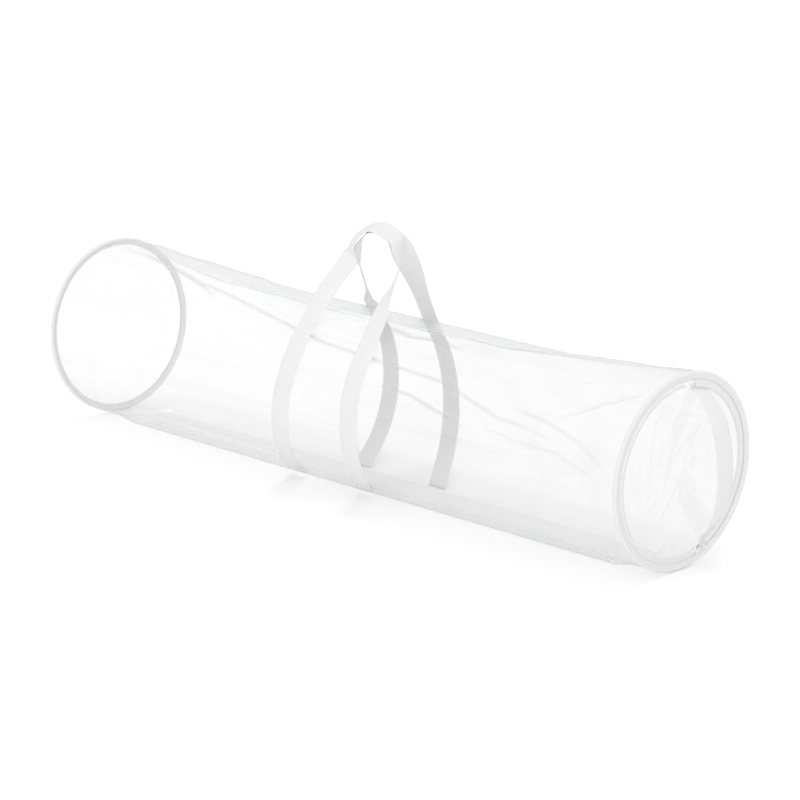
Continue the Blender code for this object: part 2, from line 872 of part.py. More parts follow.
def add_handle(name, shares, left_x, right_x, front, finish, holder, holder_frame):
    """A twisted ribbon through the hand-set shares of the leg spacing, the reach and the rise."""
    pivot = handle_pivot(front)
    mid_x = (left_x + right_x) / 2
    half_spacing = (right_x - left_x) / 2
    rise = handle_rise if front else handle_rise - webbing_width * handle_stack_share
    keys = []
    for along, out, up, across_x, across_y, across_z in shares:
        keys.append(
            (
                mid_x + along * half_spacing,
                pivot.y * out,
                pivot.z + rise * up,
                across_x * webbing_width,
                across_y * webbing_width,
                across_z * webbing_width,
            )
        )
    path = smooth_path(keys)
    centres = [Vector(row[:3]) for row in path]
    low_rows = []
    high_rows = []
    last = len(path) - 1
    for index, row in enumerate(path):
        run = (centres[min(index + 1, last)] - centres[max(index - 1, 0)]).normalized()
        across = Vector(row[3:]).normalized()
        if index in (0, last):
            across = Vector((math.copysign(1, across.x), 0, 0))
        face = across.cross(run).normalized()
        centre = centres[index]
        for rows, side in ((low_rows, -1), (high_rows, 1)):
            shift = face * (side * webbing_thickness / 2)
            rows.append(
                [centre + across * (edge * webbing_width / 2) + shift for edge in (-1, 0, 1)]
            )
    points, faces = slab(low_rows, high_rows)
    make_object(name, points, faces, finish, holder, holder_frame)


def build():
    clear_scene()
    film = make_material("clear_vinyl", (0.93, 0.94, 0.95), 0.12, alpha=0.35)
    webbing = make_material("white_webbing", (0.86, 0.86, 0.86), 0.75)
    piping = make_material("white_piping", (0.88, 0.88, 0.88), 0.6)
    tape = make_material("white_zip_tape", (0.88, 0.88, 0.88), 0.7)
    teeth = make_material("white_zip_teeth", (0.9, 0.9, 0.9), 0.4)
    slider_metal = make_material("painted_slider", (0.85, 0.85, 0.86), 0.35)
    spring_steel = make_material("spring_steel", (0.6, 0.6, 0.6), 0.35, 1.0)

    half = bag_length / 2
    right_place = Matrix.Translation((half, 0, axis_height))
    right_frame = right_place @ Matrix.Rotation(hoop_lean, 4, "Y")
    left_place = Matrix.Translation((-half, 0, axis_height))
    left_frame = left_place @ Matrix.Rotation(math.pi, 4, "Z") @ Matrix.Rotation(hoop_lean, 4, "Y")
    right_end = make_empty("right_end", right_frame)
    left_end = make_empty("left_end", left_frame)

    add_tube_film(film)
    for side, end in (("left", left_end), ("right", right_end)):
        add_piping(side + "_piping", piping, end)
        add_hoop(side + "_hoop", spring_steel, end)
        add_ferrule(side + "_hoop_ferrule", spring_steel, end)
    add_left_end_film(film, left_end)

    hinge_place = Matrix.Translation(end_point(film_thickness / 2, fold_offset, 0))
    fold_frame = hinge_place @ Matrix.Rotation(strap_turn, 4, "X")
    flap = make_empty("flap_fold", fold_frame, right_end)
    add_end_disc_part("end_flap_film", True, film, flap, fold_frame)
    add_end_disc_part("segment_film", False, film, right_end)
    add_zip_tapes(tape, right_end, flap, fold_frame)
    add_tooth_rows(teeth, right_end, flap, fold_frame)
    upper_stop, lower_stop = stop_angles()
    turn = stop_length / zip_radius
    add_zip_stop("zip_top_stop", upper_stop - turn, slider_metal, right_end)
    add_zip_stop("zip_bottom_stop", lower_stop, slider_metal, right_end)

    slider_holder = make_empty("slider_path", Matrix.Rotation(park_angles()[1], 4, "X"), right_end)
    add_slider(slider_metal, slider_holder)
    pivot_out = slider_gap / 2 + slider_plate + clearance + pull_thickness / 2
    pull_place = Matrix.Translation((pivot_out, zip_radius, 0))
    pull_holder = make_empty("pull_pivot", pull_place, slider_holder)
    add_pull(slider_metal, pull_holder)

    strap_place = Matrix.Translation(end_point(strap_seat(), strap_offset, 0))
    strap_frame = strap_place @ Matrix.Rotation(strap_turn, 4, "X")
    strap_holder = make_empty("end_handle_pivot", strap_frame, right_end)
    add_end_handle(webbing, right_end, strap_holder, strap_frame)
    add_strap_tab("end_handle_upper_tab", 1, webbing, right_end)
    add_strap_tab("end_handle_lower_tab", -1, webbing, right_end)

    gentle, late = leg_bend_powers
    start, stop = math.pi - leave_angle, math.pi + front_leg_end
    add_leg("front_left_leg", front_left_leg_x, front_left_drift, gentle, start, stop, webbing)
    add_leg("front_right_leg", front_right_leg_x, front_right_drift, late, start, stop, webbing)
    start, stop = leave_angle, -rear_leg_end
    add_leg("rear_left_leg", rear_left_leg_x, rear_left_drift, gentle, start, stop, webbing)
    add_leg("rear_right_leg", rear_right_leg_x, rear_right_drift, gentle, start, stop, webbing)

    front_frame = Matrix.Translation(handle_pivot(True))
    rear_frame = Matrix.Translation(handle_pivot(False))
    front_holder = make_empty("front_handle_pivot", front_frame)
    rear_holder = make_empty("rear_handle_pivot", rear_frame)
    add_handle(
        "front_handle", front_handle_shares, front_left_leg_x, front_right_leg_x,
        True, webbing, front_holder, front_frame,
    )
    add_handle(
        "rear_handle", rear_handle_shares, rear_left_leg_x, rear_right_leg_x,
        False, webbing, rear_holder, rear_frame,
    )


build()
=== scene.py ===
# %% [markdown]
# # A clear tube bag for gift wrap
#
# Two spring hoops hold a tube of clear vinyl open. A clear disc closes the far end, and a zipped disc
# closes the near one. Two webbing handles go round the tube and meet above it, and a third strap lies
# across the near end. Almost everything here is thin and pale, so the look depends on how the film bends
# light at its edges and creases, and on the weave and stitches of the narrow white parts.
#
# Everything is in metres. X runs along the tube towards the zipped end, -Y is the front and Z is up.

# %% Load the fixed frame
import math

import bmesh
import bpy
import numpy as np
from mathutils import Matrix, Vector


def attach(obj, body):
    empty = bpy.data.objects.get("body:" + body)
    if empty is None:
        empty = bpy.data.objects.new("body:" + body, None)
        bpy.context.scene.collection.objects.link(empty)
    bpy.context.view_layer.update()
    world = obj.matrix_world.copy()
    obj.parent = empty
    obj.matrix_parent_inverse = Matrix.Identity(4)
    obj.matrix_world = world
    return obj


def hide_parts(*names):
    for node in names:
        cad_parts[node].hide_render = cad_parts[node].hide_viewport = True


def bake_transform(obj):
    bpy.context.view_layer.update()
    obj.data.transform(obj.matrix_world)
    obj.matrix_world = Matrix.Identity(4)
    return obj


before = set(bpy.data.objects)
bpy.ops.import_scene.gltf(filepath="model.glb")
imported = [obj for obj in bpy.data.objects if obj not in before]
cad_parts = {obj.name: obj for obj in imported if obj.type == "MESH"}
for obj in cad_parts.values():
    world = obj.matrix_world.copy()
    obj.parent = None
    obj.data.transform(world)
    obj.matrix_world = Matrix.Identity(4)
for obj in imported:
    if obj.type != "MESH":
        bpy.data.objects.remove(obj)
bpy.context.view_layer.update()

# %% [markdown]
# ## Sizes shared with the frame
#
# The visible pieces lie where the CAD solids lie, so the sizes that place them are repeated here. They
# could be measured from each node's box instead, but a leaning hoop's radius can't be read from a box.

# %% Sizes
BAG_LENGTH = 1.0286
HOOP_DIAMETER = 0.244
AXIS_HEIGHT = HOOP_DIAMETER / 2
HOOP_LEAN = math.radians(1.7)
CLEARANCE = 0.0003
PIPING_RADIUS = 0.003
HOOP_RADIUS = AXIS_HEIGHT - PIPING_RADIUS
RIM_RADIUS = 0.115
LIP_RADIUS = 0.1125
ZIP_RADIUS = 0.1087
END_FILM_RADIUS = 0.1031
FOLD_OFFSET = 0.0213
STRAP_OFFSET = 0.0369
STRAP_TURN = math.radians(8.74)
WEBBING_WIDTH = 0.030
WEBBING_THICKNESS = 0.0014
FILM_THICKNESS = 0.0008
SEED = 7


# %% [markdown]
# ## Camera
#
# The photograph is a long-lens product shot from the front right, a little above. The angles, the
# distance and the lens were fitted to the two hoops' outlines. A shorter lens closer by could show the
# same size, but the far hoop would then look smaller than it does.

# %% Camera
VIEW_TURN = math.radians(45.36)
VIEW_RISE = math.radians(15.04)
VIEW_DISTANCE = 4.098
VIEW_SHIFT_RIGHT = 0.0299
VIEW_SHIFT_UP = -0.0105
LENS_MM = 143.5
SENSOR_MM = 36.0


def add_object(name, data):
    """A new object in the scene."""
    made = bpy.data.objects.new(name, data)
    bpy.context.scene.collection.objects.link(made)
    return made


def make_camera():
    level = math.cos(VIEW_RISE)
    towards = Vector((math.sin(VIEW_TURN) * level, -math.cos(VIEW_TURN) * level, math.sin(VIEW_RISE)))
    right = Vector((math.cos(VIEW_TURN), math.sin(VIEW_TURN), 0))
    up = towards.cross(right)
    data = bpy.data.cameras.new("camera")
    data.lens = LENS_MM
    data.sensor_width = SENSOR_MM
    camera = add_object("camera", data)
    centre = Vector((0, 0, AXIS_HEIGHT))
    camera.location = centre + right * VIEW_SHIFT_RIGHT + up * VIEW_SHIFT_UP + towards * VIEW_DISTANCE
    camera.rotation_euler = (-towards).to_track_quat("-Z", "Y").to_euler()
    bpy.context.scene.camera = camera
    return camera


camera = make_camera()
print("camera stands at", [round(value, 3) for value in camera.location])

# %% [markdown]
# ## Node helpers
#
# Each finish is a small node tree. These helpers add a node, set its plain values and join its links,
# which keeps the trees short enough to read.


# %% Node helpers
def new_material(name):
    made = bpy.data.materials.new(name)
    made.use_nodes = True
    made.node_tree.nodes.clear()
    return made, made.node_tree


def add_node(tree, kind, settings=(), values=(), links=()):
    """A node with its settings, its socket values and its incoming links."""
    made = tree.nodes.new(kind)
    for name, value in dict(settings).items():
        setattr(made, name, value)
    for name, value in dict(values).items():
        made.inputs[name].default_value = value
    for name, source in dict(links).items():
        tree.links.new(source, made.inputs[name])
    return made


def add_math(tree, operation, first, second, clamp=False):
    """A Math node; each side is a socket or a plain number."""
    made = add_node(tree, "ShaderNodeMath", {"operation": operation, "use_clamp": clamp})
    for index, value in enumerate((first, second)):
        if isinstance(value, (int, float)):
            made.inputs[index].default_value = value
        else:
            tree.links.new(value, made.inputs[index])
    return made.outputs[0]


def times(tree, first, second):
    return add_math(tree, "MULTIPLY", first, second)


def plus(tree, first, second, clamp=False):
    return add_math(tree, "ADD", first, second, clamp)


def add_noise(tree, place, values):
    return add_node(tree, "ShaderNodeTexNoise", (), values, {"Vector": place}).outputs["Fac"]


def add_bump(tree, height, strength, distance):
    values = {"Strength": strength, "Distance": distance}
    return add_node(tree, "ShaderNodeBump", (), values, {"Height": height}).outputs["Normal"]


def add_range(tree, source, low, high, start=0.0, end=1.0):
    """Turns start to end into low to high, and holds both ends."""
    values = {"From Min": start, "From Max": end, "To Min": low, "To Max": high}
    return add_node(tree, "ShaderNodeMapRange", (), values, {"Value": source}).outputs["Result"]


def two_tone(tree, source, colour, dark_share, ends=(0.0, 1.0)):
    """A colour that sinks to a darker share of itself where the source is low."""
    ramp = add_node(tree, "ShaderNodeValToRGB", links={"Fac": source})
    dark, full = ramp.color_ramp.elements
    dark.position, full.position = ends
    dark.color = (*(value * dark_share for value in colour), 1)
    full.color = (*colour, 1)
    return ramp.outputs["Color"]


def mix_shaders(tree, share, first, second):
    return add_node(tree, "ShaderNodeMixShader", links={"Fac": share, 1: first, 2: second}).outputs[0]


def finish_tree(tree, surface):
    add_node(tree, "ShaderNodeOutputMaterial", links={"Surface": surface})


# %% [markdown]
# ## Stage and light
#
# A catalogue picture on white: the floor and the world are white to the camera, and the floor still takes
# the object's soft shadow. The lamps could be turned up until the floor burned out, but the white webbing
# would burn out with it. So the light stays plain, and the floor gets a small glow that only the camera
# sees.

# %% World and floor
WORLD_LIGHT = 0.83
FLOOR_GLOW = 0.13
FLOOR_COLOUR = (0.95, 0.95, 0.952, 1)
FLOOR_SIZE = 60.0
FLOOR_DROP = 0.0002
WHITE = (1, 1, 1, 1)
# Each lamp: its name, the direction it stands in, its strength and its width in degrees.
LAMPS = (("key_light", (-0.03, 0.12, 1.0), 0.38, 20), ("front_fill", (0.70, -1.00, 0.25), 0.72, 60))


def seen_directly(tree):
    """1 for what the camera sees, also in gloss and through glass, and 0 for what lights the scene."""
    path = tree.nodes.new("ShaderNodeLightPath").outputs
    sharp = add_math(tree, "MAXIMUM", path["Is Glossy Ray"], path["Is Transmission Ray"])
    return add_math(tree, "MAXIMUM", path["Is Camera Ray"], sharp)


def make_world():
    world = bpy.data.worlds.new("studio")
    bpy.context.scene.world = world
    world.use_nodes = True
    tree = world.node_tree
    tree.nodes.clear()
    strength = plus(tree, times(tree, seen_directly(tree), 1.0 - WORLD_LIGHT), WORLD_LIGHT)
    light = add_node(tree, "ShaderNodeBackground", (), {"Color": WHITE}, {"Strength": strength})
    add_node(tree, "ShaderNodeOutputWorld", links={"Surface": light.outputs[0]})


def make_floor():
    material, tree = new_material("studio_floor")
    matt = add_node(tree, "ShaderNodeBsdfDiffuse", values={"Color": FLOOR_COLOUR})
    strength = times(tree, seen_directly(tree), FLOOR_GLOW)
    glow = add_node(tree, "ShaderNodeEmission", (), {"Color": WHITE}, {"Strength": strength})
    both = add_node(tree, "ShaderNodeAddShader", links={0: matt.outputs[0], 1: glow.outputs[0]})
    finish_tree(tree, both.outputs[0])
    half = FLOOR_SIZE / 2
    corners = [(x * half, y * half, -FLOOR_DROP) for x, y in ((-1, -1), (1, -1), (1, 1), (-1, 1))]
    mesh = bpy.data.meshes.new("floor")
    mesh.from_pydata(corners, [], [(0, 1, 2, 3)])
    mesh.materials.append(material)
    floor = add_object("floor", mesh)


def add_sun(name, towards, strength, angle):
    """A wide, soft lamp that lights the whole floor evenly; towards points at the lamp."""
    data = bpy.data.lights.new(name, "SUN")
    data.energy = strength
    data.angle = math.radians(angle)
    add_object(name, data).rotation_euler = Vector(towards).to_track_quat("Z", "Y").to_euler()


make_world()
make_floor()
for lamp in LAMPS:
    add_sun(*lamp)
bpy.context.scene.view_settings.view_transform = "Standard"
print("world gives", WORLD_LIGHT, "and the floor glows", FLOOR_GLOW)

# %% [markdown]
# ## Clear vinyl
#
# Soft PVC film is nearly invisible face on, and turns grey and glossy at a glancing angle, where light
# crosses more of it. A glass shader could do this, but it needs a real thickness and many bounces. Here
# a clear layer is mixed with a pale grey one, by the angle and by a faint cloudiness, and a thin gloss
# lies on top. The two shares come from Layer Weight, which suits gloss and glass. The mesh also carries
# a "fold" value that is 1 on a crease's line, and the grey laid along it is painted shade on the creases.
# The cloudiness grows towards the zipped end. Faint streaks run along the sheet, as it was drawn.

# %% Vinyl material
VINYL_HAZE = (0.044, 0.084)
# Where the haze starts to grow along the tube, and where it is densest.
HAZE_RISE_SPAN = (-0.1, 0.4)
VINYL_CLEAR = 0.985
VINYL_GREY = (0.60, 0.603, 0.61, 1)
VINYL_ROUGHNESS = 0.35
VINYL_IOR = 1.5
# How much each grows at a glancing angle, and the power of the angle that it follows.
VINYL_EDGE, VINYL_EDGE_POWER = 0.55, 4.5
VINYL_RIM, VINYL_RIM_POWER = 0.30, 9.0
VINYL_GLEAM, VINYL_GLEAM_POWER = 0.12, 5.0
VINYL_SHINE = 0.09
GLOSS_ROUGHNESS = 0.10
CLOUD_NOISE = {"Scale": 9.0, "Detail": 3.0, "Roughness": 0.55}
RIPPLE_NOISE = {"Scale": 46.0, "Detail": 2.0, "Distortion": 0.8}
RIPPLE_STRENGTH, RIPPLE_HEIGHT = 0.12, 0.0008
STREAK_NOISE = {"Scale": 1.0, "Detail": 3.0, "Roughness": 0.6}
STREAK_STRETCH = (2.2, 34.0, 34.0)
STREAK_BAND = (0.52, 0.72)
VINYL_STREAK = 0.055
# How much grey lies along each crease's line, as painted shade.
CREASE_SHADE_GREY = 0.42


def make_vinyl():
    material, tree = new_material("clear_vinyl")
    place = tree.nodes.new("ShaderNodeTexCoord").outputs["Object"]
    bumped = {"Normal": add_bump(tree, add_noise(tree, place, RIPPLE_NOISE), RIPPLE_STRENGTH, RIPPLE_HEIGHT)}
    facing = add_node(tree, "ShaderNodeLayerWeight", values={"Blend": 0.5}).outputs["Facing"]
    edge, rim, gleam = (
        times(tree, add_math(tree, "POWER", facing, power), size)
        for size, power in (
            (VINYL_EDGE, VINYL_EDGE_POWER), (VINYL_RIM, VINYL_RIM_POWER), (VINYL_GLEAM, VINYL_GLEAM_POWER)
        )
    )
    along = add_node(tree, "ShaderNodeSeparateXYZ", links={"Vector": place}).outputs["X"]
    low, high = (2 * haze for haze in VINYL_HAZE)
    # The haze grows along the tube towards the zipped end.
    haze_towards_zip = add_range(tree, along, low, high, *HAZE_RISE_SPAN)
    drawn = add_node(tree, "ShaderNodeMapping", (), {"Scale": STREAK_STRETCH}, {"Vector": place}).outputs[0]
    lines = add_range(tree, add_noise(tree, drawn, STREAK_NOISE), 0.0, VINYL_STREAK, *STREAK_BAND)
    haze = plus(tree, times(tree, add_noise(tree, place, CLOUD_NOISE), haze_towards_zip), lines)
    fold = add_node(tree, "ShaderNodeAttribute", {"attribute_name": "fold"}).outputs["Fac"]
    # The grey share: glancing angles, haze, and painted shade along the creases.
    cover = plus(tree, plus(tree, plus(tree, edge, rim), haze), times(tree, fold, CREASE_SHADE_GREY), clamp=True)
    clear = add_node(tree, "ShaderNodeBsdfTransparent", values={"Color": (*[VINYL_CLEAR] * 3, 1)})
    body_values = {"Base Color": VINYL_GREY, "Roughness": VINYL_ROUGHNESS, "IOR": VINYL_IOR}
    body = add_node(tree, "ShaderNodeBsdfPrincipled", (), body_values, bumped)
    film = mix_shaders(tree, cover, clear.outputs[0], body.outputs[0])
    gloss_values = {"Color": WHITE, "Roughness": GLOSS_ROUGHNESS}
    gloss = add_node(tree, "ShaderNodeBsdfAnisotropic", (), gloss_values, bumped)
    finish_tree(tree, mix_shaders(tree, plus(tree, gleam, VINYL_SHINE), film, gloss.outputs[0]))
    return material


vinyl = make_vinyl()

# %% [markdown]
# ## Webbing
#
# The straps are narrow white polypropylene webbing: fine ribs run across it, each broken by the warp
# threads that run along it. The ribs could be modelled, but there are about 1,500 of them and each is
# less than a pixel high, so they come from two wave patterns on the strap's own UV map, in metres along
# and across it. These drive the bump, and also darken the colour in the valleys as painted shade.

# %% Webbing material
RIB_PITCH = 0.0019
WARP_PITCH = 0.0011
RIB_SHARE, WARP_SHARE = 0.7, 0.3
# How far the colour follows the ribs' relief, as painted shade in their valleys, then two shares of random
# tone.
RIB_SHADE_SHARE, GRAIN_TONE, PATCH_TONE = 0.55, 0.25, 0.30
GRAIN_NOISE = {"Scale": 900.0, "Detail": 2.0}
PATCH_NOISE = {"Scale": 26.0, "Detail": 2.0}
TONE_ENDS = (0.15, 0.85)
DARK_SHARE = 0.92
WEAVE_STRENGTH = 0.75
SHEEN = {"Sheen Weight": 0.25, "Sheen Roughness": 0.5}


def wave_along(tree, source, pitch):
    """A smooth 0 to 1 wave along one socket that is measured in metres."""
    turned = times(tree, source, math.tau / pitch)
    wave = add_node(tree, "ShaderNodeMath", {"operation": "SINE"}, (), {0: turned})
    return times(tree, plus(tree, wave.outputs[0], 1.0), 0.5)


def make_weave(name, colour, pitches, relief_height, roughness):
    """A woven tape: relief from its ribs and warp, painted shade in the valleys between them, and faint
    random patches of tone.
    """
    material, tree = new_material(name)
    place = tree.nodes.new("ShaderNodeTexCoord").outputs
    split = add_node(tree, "ShaderNodeSeparateXYZ", links={"Vector": place["UV"]}).outputs
    rib = wave_along(tree, split["Y"], pitches[0])
    warp = wave_along(tree, split["X"], pitches[1])
    relief = plus(tree, times(tree, rib, RIB_SHARE), times(tree, warp, WARP_SHARE))
    grain = times(tree, add_noise(tree, place["UV"], GRAIN_NOISE), GRAIN_TONE)
    patch = times(tree, add_noise(tree, place["Object"], PATCH_NOISE), PATCH_TONE)
    # Painted shade: the colour sinks in the weave's valleys, over random grain and patches.
    shade_and_grain = plus(tree, plus(tree, times(tree, relief, RIB_SHADE_SHARE), grain), patch, clamp=True)
    shown = two_tone(tree, shade_and_grain, colour, DARK_SHARE, TONE_ENDS)
    bump = add_bump(tree, relief, WEAVE_STRENGTH, relief_height)
    links = {"Base Color": shown, "Normal": bump}
    cloth = add_node(tree, "ShaderNodeBsdfPrincipled", (), {"Roughness": roughness, **SHEEN}, links)
    finish_tree(tree, cloth.outputs[0])
    return material


webbing_white, piping_white, tape_white = (
    make_weave(*weave)
    for weave in (
        ("white_webbing", (0.915, 0.915, 0.917), (RIB_PITCH, WARP_PITCH), 0.0004, 0.62),
        ("white_piping", (0.87, 0.87, 0.872), (0.0009, 0.0009), 0.0001, 0.50),
        ("white_zip_tape", (0.89, 0.89, 0.892), (0.0008, 0.0006), 0.0001, 0.60),
    )
)

# %% [markdown]
# ## Nylon, enamel, steel and thread
#
# The small hard parts each get a principled shader with fine relief: moulded nylon for the teeth, white
# enamel with orange peel for the slider and its pull, drawn spring steel for the hoops inside the
# piping, and twisted polyester for the stitches.


# %% Hard finishes
ROUGHNESS_SPREAD = 0.2
GRAIN_STRENGTH = 0.4


def make_finish(name, colour, roughness, metallic=0.0, grain=400.0, relief=0.00005, variation=0.06):
    """A plain hard finish with a fine grain in its colour, its roughness and its surface."""
    material, tree = new_material(name)
    place = tree.nodes.new("ShaderNodeTexCoord").outputs["Object"]
    noise = add_noise(tree, place, {"Scale": grain, "Detail": 3.0})
    low, high = roughness * (1 - ROUGHNESS_SPREAD), roughness * (1 + ROUGHNESS_SPREAD)
    links = {
        "Base Color": two_tone(tree, noise, colour, 1 - variation),
        "Roughness": add_range(tree, noise, low, high),
        "Normal": add_bump(tree, noise, GRAIN_STRENGTH, relief),
    }
    shader = add_node(tree, "ShaderNodeBsdfPrincipled", (), {"Metallic": metallic}, links)
    finish_tree(tree, shader.outputs[0])
    return material


nylon_teeth = make_finish("white_zip_teeth", (0.90, 0.90, 0.90), 0.35)
white_enamel = make_finish("painted_slider", (0.86, 0.86, 0.865), 0.28, relief=0.00002, variation=0.03)
spring_steel = make_finish("spring_steel", (0.60, 0.60, 0.61), 0.32, metallic=1.0, grain=1500.0)
thread_white = make_finish("white_thread", (0.92, 0.92, 0.92), 0.7, grain=3000.0, variation=0.12)
print("finishes:", [material.name for material in bpy.data.materials])

# %% [markdown]
# ## The film's surface rule
#
# The tube isn't a plain cylinder. It rests on a flat strip, its top hangs slack in one long facet, and
# one crease twists along the near wall. A cloth simulation could find folds like these, but not the same
# ones. So the surface is one rule: a radius for each place along the tube and angle round it, minus
# creases along listed paths, plus many small seeded dents. The legs of the handles use the same rule,
# so they lie on the film wherever it goes.

# %% Film radius
REST_FLAT_WIDTH = 0.074
FLAT_HALF_ANGLE = math.atan(REST_FLAT_WIDTH / 2 / AXIS_HEIGHT)
SLACK_MIDDLE = math.radians(77)
SLACK_HALF = math.radians(35)
SLACK_LIMIT = math.radians(80)
SLACK_BLEND_LIMIT = math.radians(75)
SHOULDER_SOFTNESS = 0.0012
HALF_TUBE = BAG_LENGTH / 2 - PIPING_RADIUS - CLEARANCE
# From the middle to one end: the places, the radius at each, and the shares of flat and of slack left.
FLARE_PLACES = (0.0, HALF_TUBE / 2, HALF_TUBE - 0.060, HALF_TUBE - 0.030, HALF_TUBE - 0.010, HALF_TUBE)
FLARE_RADII = (AXIS_HEIGHT, AXIS_HEIGHT, AXIS_HEIGHT, AXIS_HEIGHT, 0.1207, 0.1194)
FLAT_SHARES = (1.0, 1.0, 1.0, 0.0, 0.0, 0.0)
SLACK_SHARES = (1.0, 1.0, 0.6, 0.35, 0.15, 0.0)


def turn_between(angle, centre):
    """The unsigned angle from centre, wrapped round the tube."""
    return np.abs((angle - centre + math.pi) % math.tau - math.pi)


def film_radius(along, angle):
    """The smooth radius: round, flat below and slack above."""
    place = np.abs(along)
    radius = np.interp(place, FLARE_PLACES, FLARE_RADII)
    flat = FLAT_HALF_ANGLE * np.interp(place, FLARE_PLACES, FLAT_SHARES)
    slack = SLACK_HALF * np.interp(place, FLARE_PLACES, SLACK_SHARES)
    from_bottom = turn_between(angle, -math.pi / 2)
    turn = np.clip(np.minimum(from_bottom, 2 * flat - from_bottom), 0.0, None)
    round_part = radius / np.cos(turn)
    from_slack = np.minimum(turn_between(angle, SLACK_MIDDLE), SLACK_LIMIT)
    facet = radius * np.cos(slack) / np.cos(from_slack)
    soft = SHOULDER_SOFTNESS
    blended = -soft * np.logaddexp(-round_part / soft, -facet / soft)
    return np.where(from_slack < SLACK_BLEND_LIMIT, np.minimum(blended, round_part), round_part)


# %% [markdown]
# ### Creases and dents
#
# Each long crease is a valley beside a ridge, because bent film springs up next to its fold. The small
# dents are short ridges with random places, lengths and directions, thickest near the zipped end, where
# the film was handled most.

# %% Creases
# Each crease: height, half width, its path as (along in metres, angle in degrees); front 180, top 90.
CREASE_PATHS = (
    (0.0034, 0.0070, (
        (-0.50, 97), (-0.42, 103), (-0.335, 111), (-0.279, 116), (-0.212, 121), (-0.14, 127), (-0.066, 133),
        (0.0, 138), (0.15, 142), (0.22, 144), (0.273, 151), (0.318, 156), (0.375, 158), (0.43, 163),
    )),
    (0.0020, 0.0040, ((0.11, 155), (0.17, 156), (0.219, 161), (0.27, 166))),
    (0.0014, 0.0045, ((0.41, 147), (0.433, 142), (0.459, 134), (0.482, 128), (0.508, 117))),
    (0.0030, 0.0045, ((0.03, 122), (0.088, 117), (0.122, 119), (0.165, 117), (0.22, 121))),
    (0.0024, 0.0040, ((0.05, 112), (0.10, 110), (0.15, 112), (0.20, 110))),
    (0.0026, 0.0050, ((-0.44, 99), (-0.366, 105), (-0.31, 112), (-0.265, 119), (-0.22, 129))),
    (0.0026, 0.0085, ((-0.34, 101), (-0.20, 108), (-0.08, 112), (0.04, 114))),
    (0.0016, 0.0080, ((-0.24, 98), (-0.10, 102), (0.06, 103), (0.16, 105))),
    (0.0012, 0.0080, ((-0.16, 90), (0.00, 94), (0.16, 97), (0.28, 99))),
    (0.0026, 0.0075, ((0.14, 106), (0.24, 104), (0.34, 101), (0.44, 97))),
    (0.0014, 0.0080, ((0.18, 98), (0.30, 95), (0.42, 90))),
    (0.0011, 0.0050, ((0.33, 148), (0.40, 152), (0.45, 158), (0.50, 170))),
    (0.0010, 0.0045, ((0.30, 163), (0.35, 166), (0.42, 167), (0.49, 176))),
    (0.0016, 0.0060, ((-0.30, 380), (-0.18, 387), (-0.05, 391), (0.09, 389), (0.22, 382))),
    (0.0016, 0.0060, ((0.10, 340), (0.22, 352), (0.33, 362), (0.44, 370))),
    (0.0012, 0.0050, ((-0.45, 212), (-0.35, 218), (-0.22, 221), (-0.08, 223))),
)
# The ridge beside a valley: its height, place and half width as shares of the valley's.
RIDGE_SHARE, RIDGE_PLACE, RIDGE_WIDTH = 0.6, 2.0, 1.4
SHADE_FULL_HEIGHT = 0.002
SHADE_HALF_WIDTH = 0.0026
FINE_START = math.radians(58)
FINE_END = math.radians(188)
BOTTOM_START = math.radians(270) - FLAT_HALF_ANGLE
BOTTOM_END = math.radians(270) + FLAT_HALF_ANGLE

# Each kind: how many, the range along the tube, the range round it in degrees, the spread of
# directions, and the ranges of length, width and height.
DENTS_EVERYWHERE = (150, (-0.50, 0.50), (115, 425), 0.5, (0.016, 0.070), (0.0050, 0.0110), (0.0002, 0.0008))
DENTS_NEAR_ZIP = (60, (0.30, 0.50), (118, 172), 1.0, (0.006, 0.022), (0.0035, 0.0070), (0.0006, 0.0018))
DENT_SPRING = 0.8

# All folds fade out over a length at each hoop and towards the floor, and dents also at the top and low
# on the sides. Each pair is the angle up to which nothing is left, and the run over which it comes back.
FADE_AT_HOOP = 0.030
REST_FADE = (0.55, 0.30)
TOP_FADE = (0.35, 0.25)
LOWER_FADE = (0.85, 0.35)


def crease_line(along, angle, path):
    """Distance from a crease, measured round the tube, and how strong the crease is at this place."""
    places = [point[0] for point in path]
    line = np.radians(np.interp(along, places, [point[1] for point in path]))
    offset = ((angle - line + math.pi) % math.tau - math.pi) * AXIS_HEIGHT
    reach = (places[-1] - places[0]) / 2
    middle = (places[-1] + places[0]) / 2
    return offset, np.clip(1 - ((along - middle) / reach) ** 4, 0, 1)


def crease_depth(along, angle):
    """How far the long creases push the film out (+) or in (-)."""
    depth = np.zeros(np.broadcast(along, angle).shape)
    for height, width, path in CREASE_PATHS:
        offset, share = crease_line(along, angle, path)
        valley = -np.exp(-((offset / width) ** 2))
        ridge = RIDGE_SHARE * np.exp(-(((offset - RIDGE_PLACE * width) / (RIDGE_WIDTH * width)) ** 2))
        depth = depth + height * share * (valley + ridge)
    return depth


def painted_crease_shade(along, angle):
    """The share of painted crease shade: 1 on the line of a crease and 0 away from it, where the mesh is
    fine enough to carry it.
    """
    shade_share = np.zeros(np.broadcast(along, angle).shape)
    for height, _, path in CREASE_PATHS:
        offset, share = crease_line(along, angle, path)
        strength = min(height / SHADE_FULL_HEIGHT, 1) * share
        shade_share = np.maximum(shade_share, strength * np.exp(-((offset / SHADE_HALF_WIDTH) ** 2)))
    return np.clip(shade_share, 0, 1) * (angle < FINE_END)


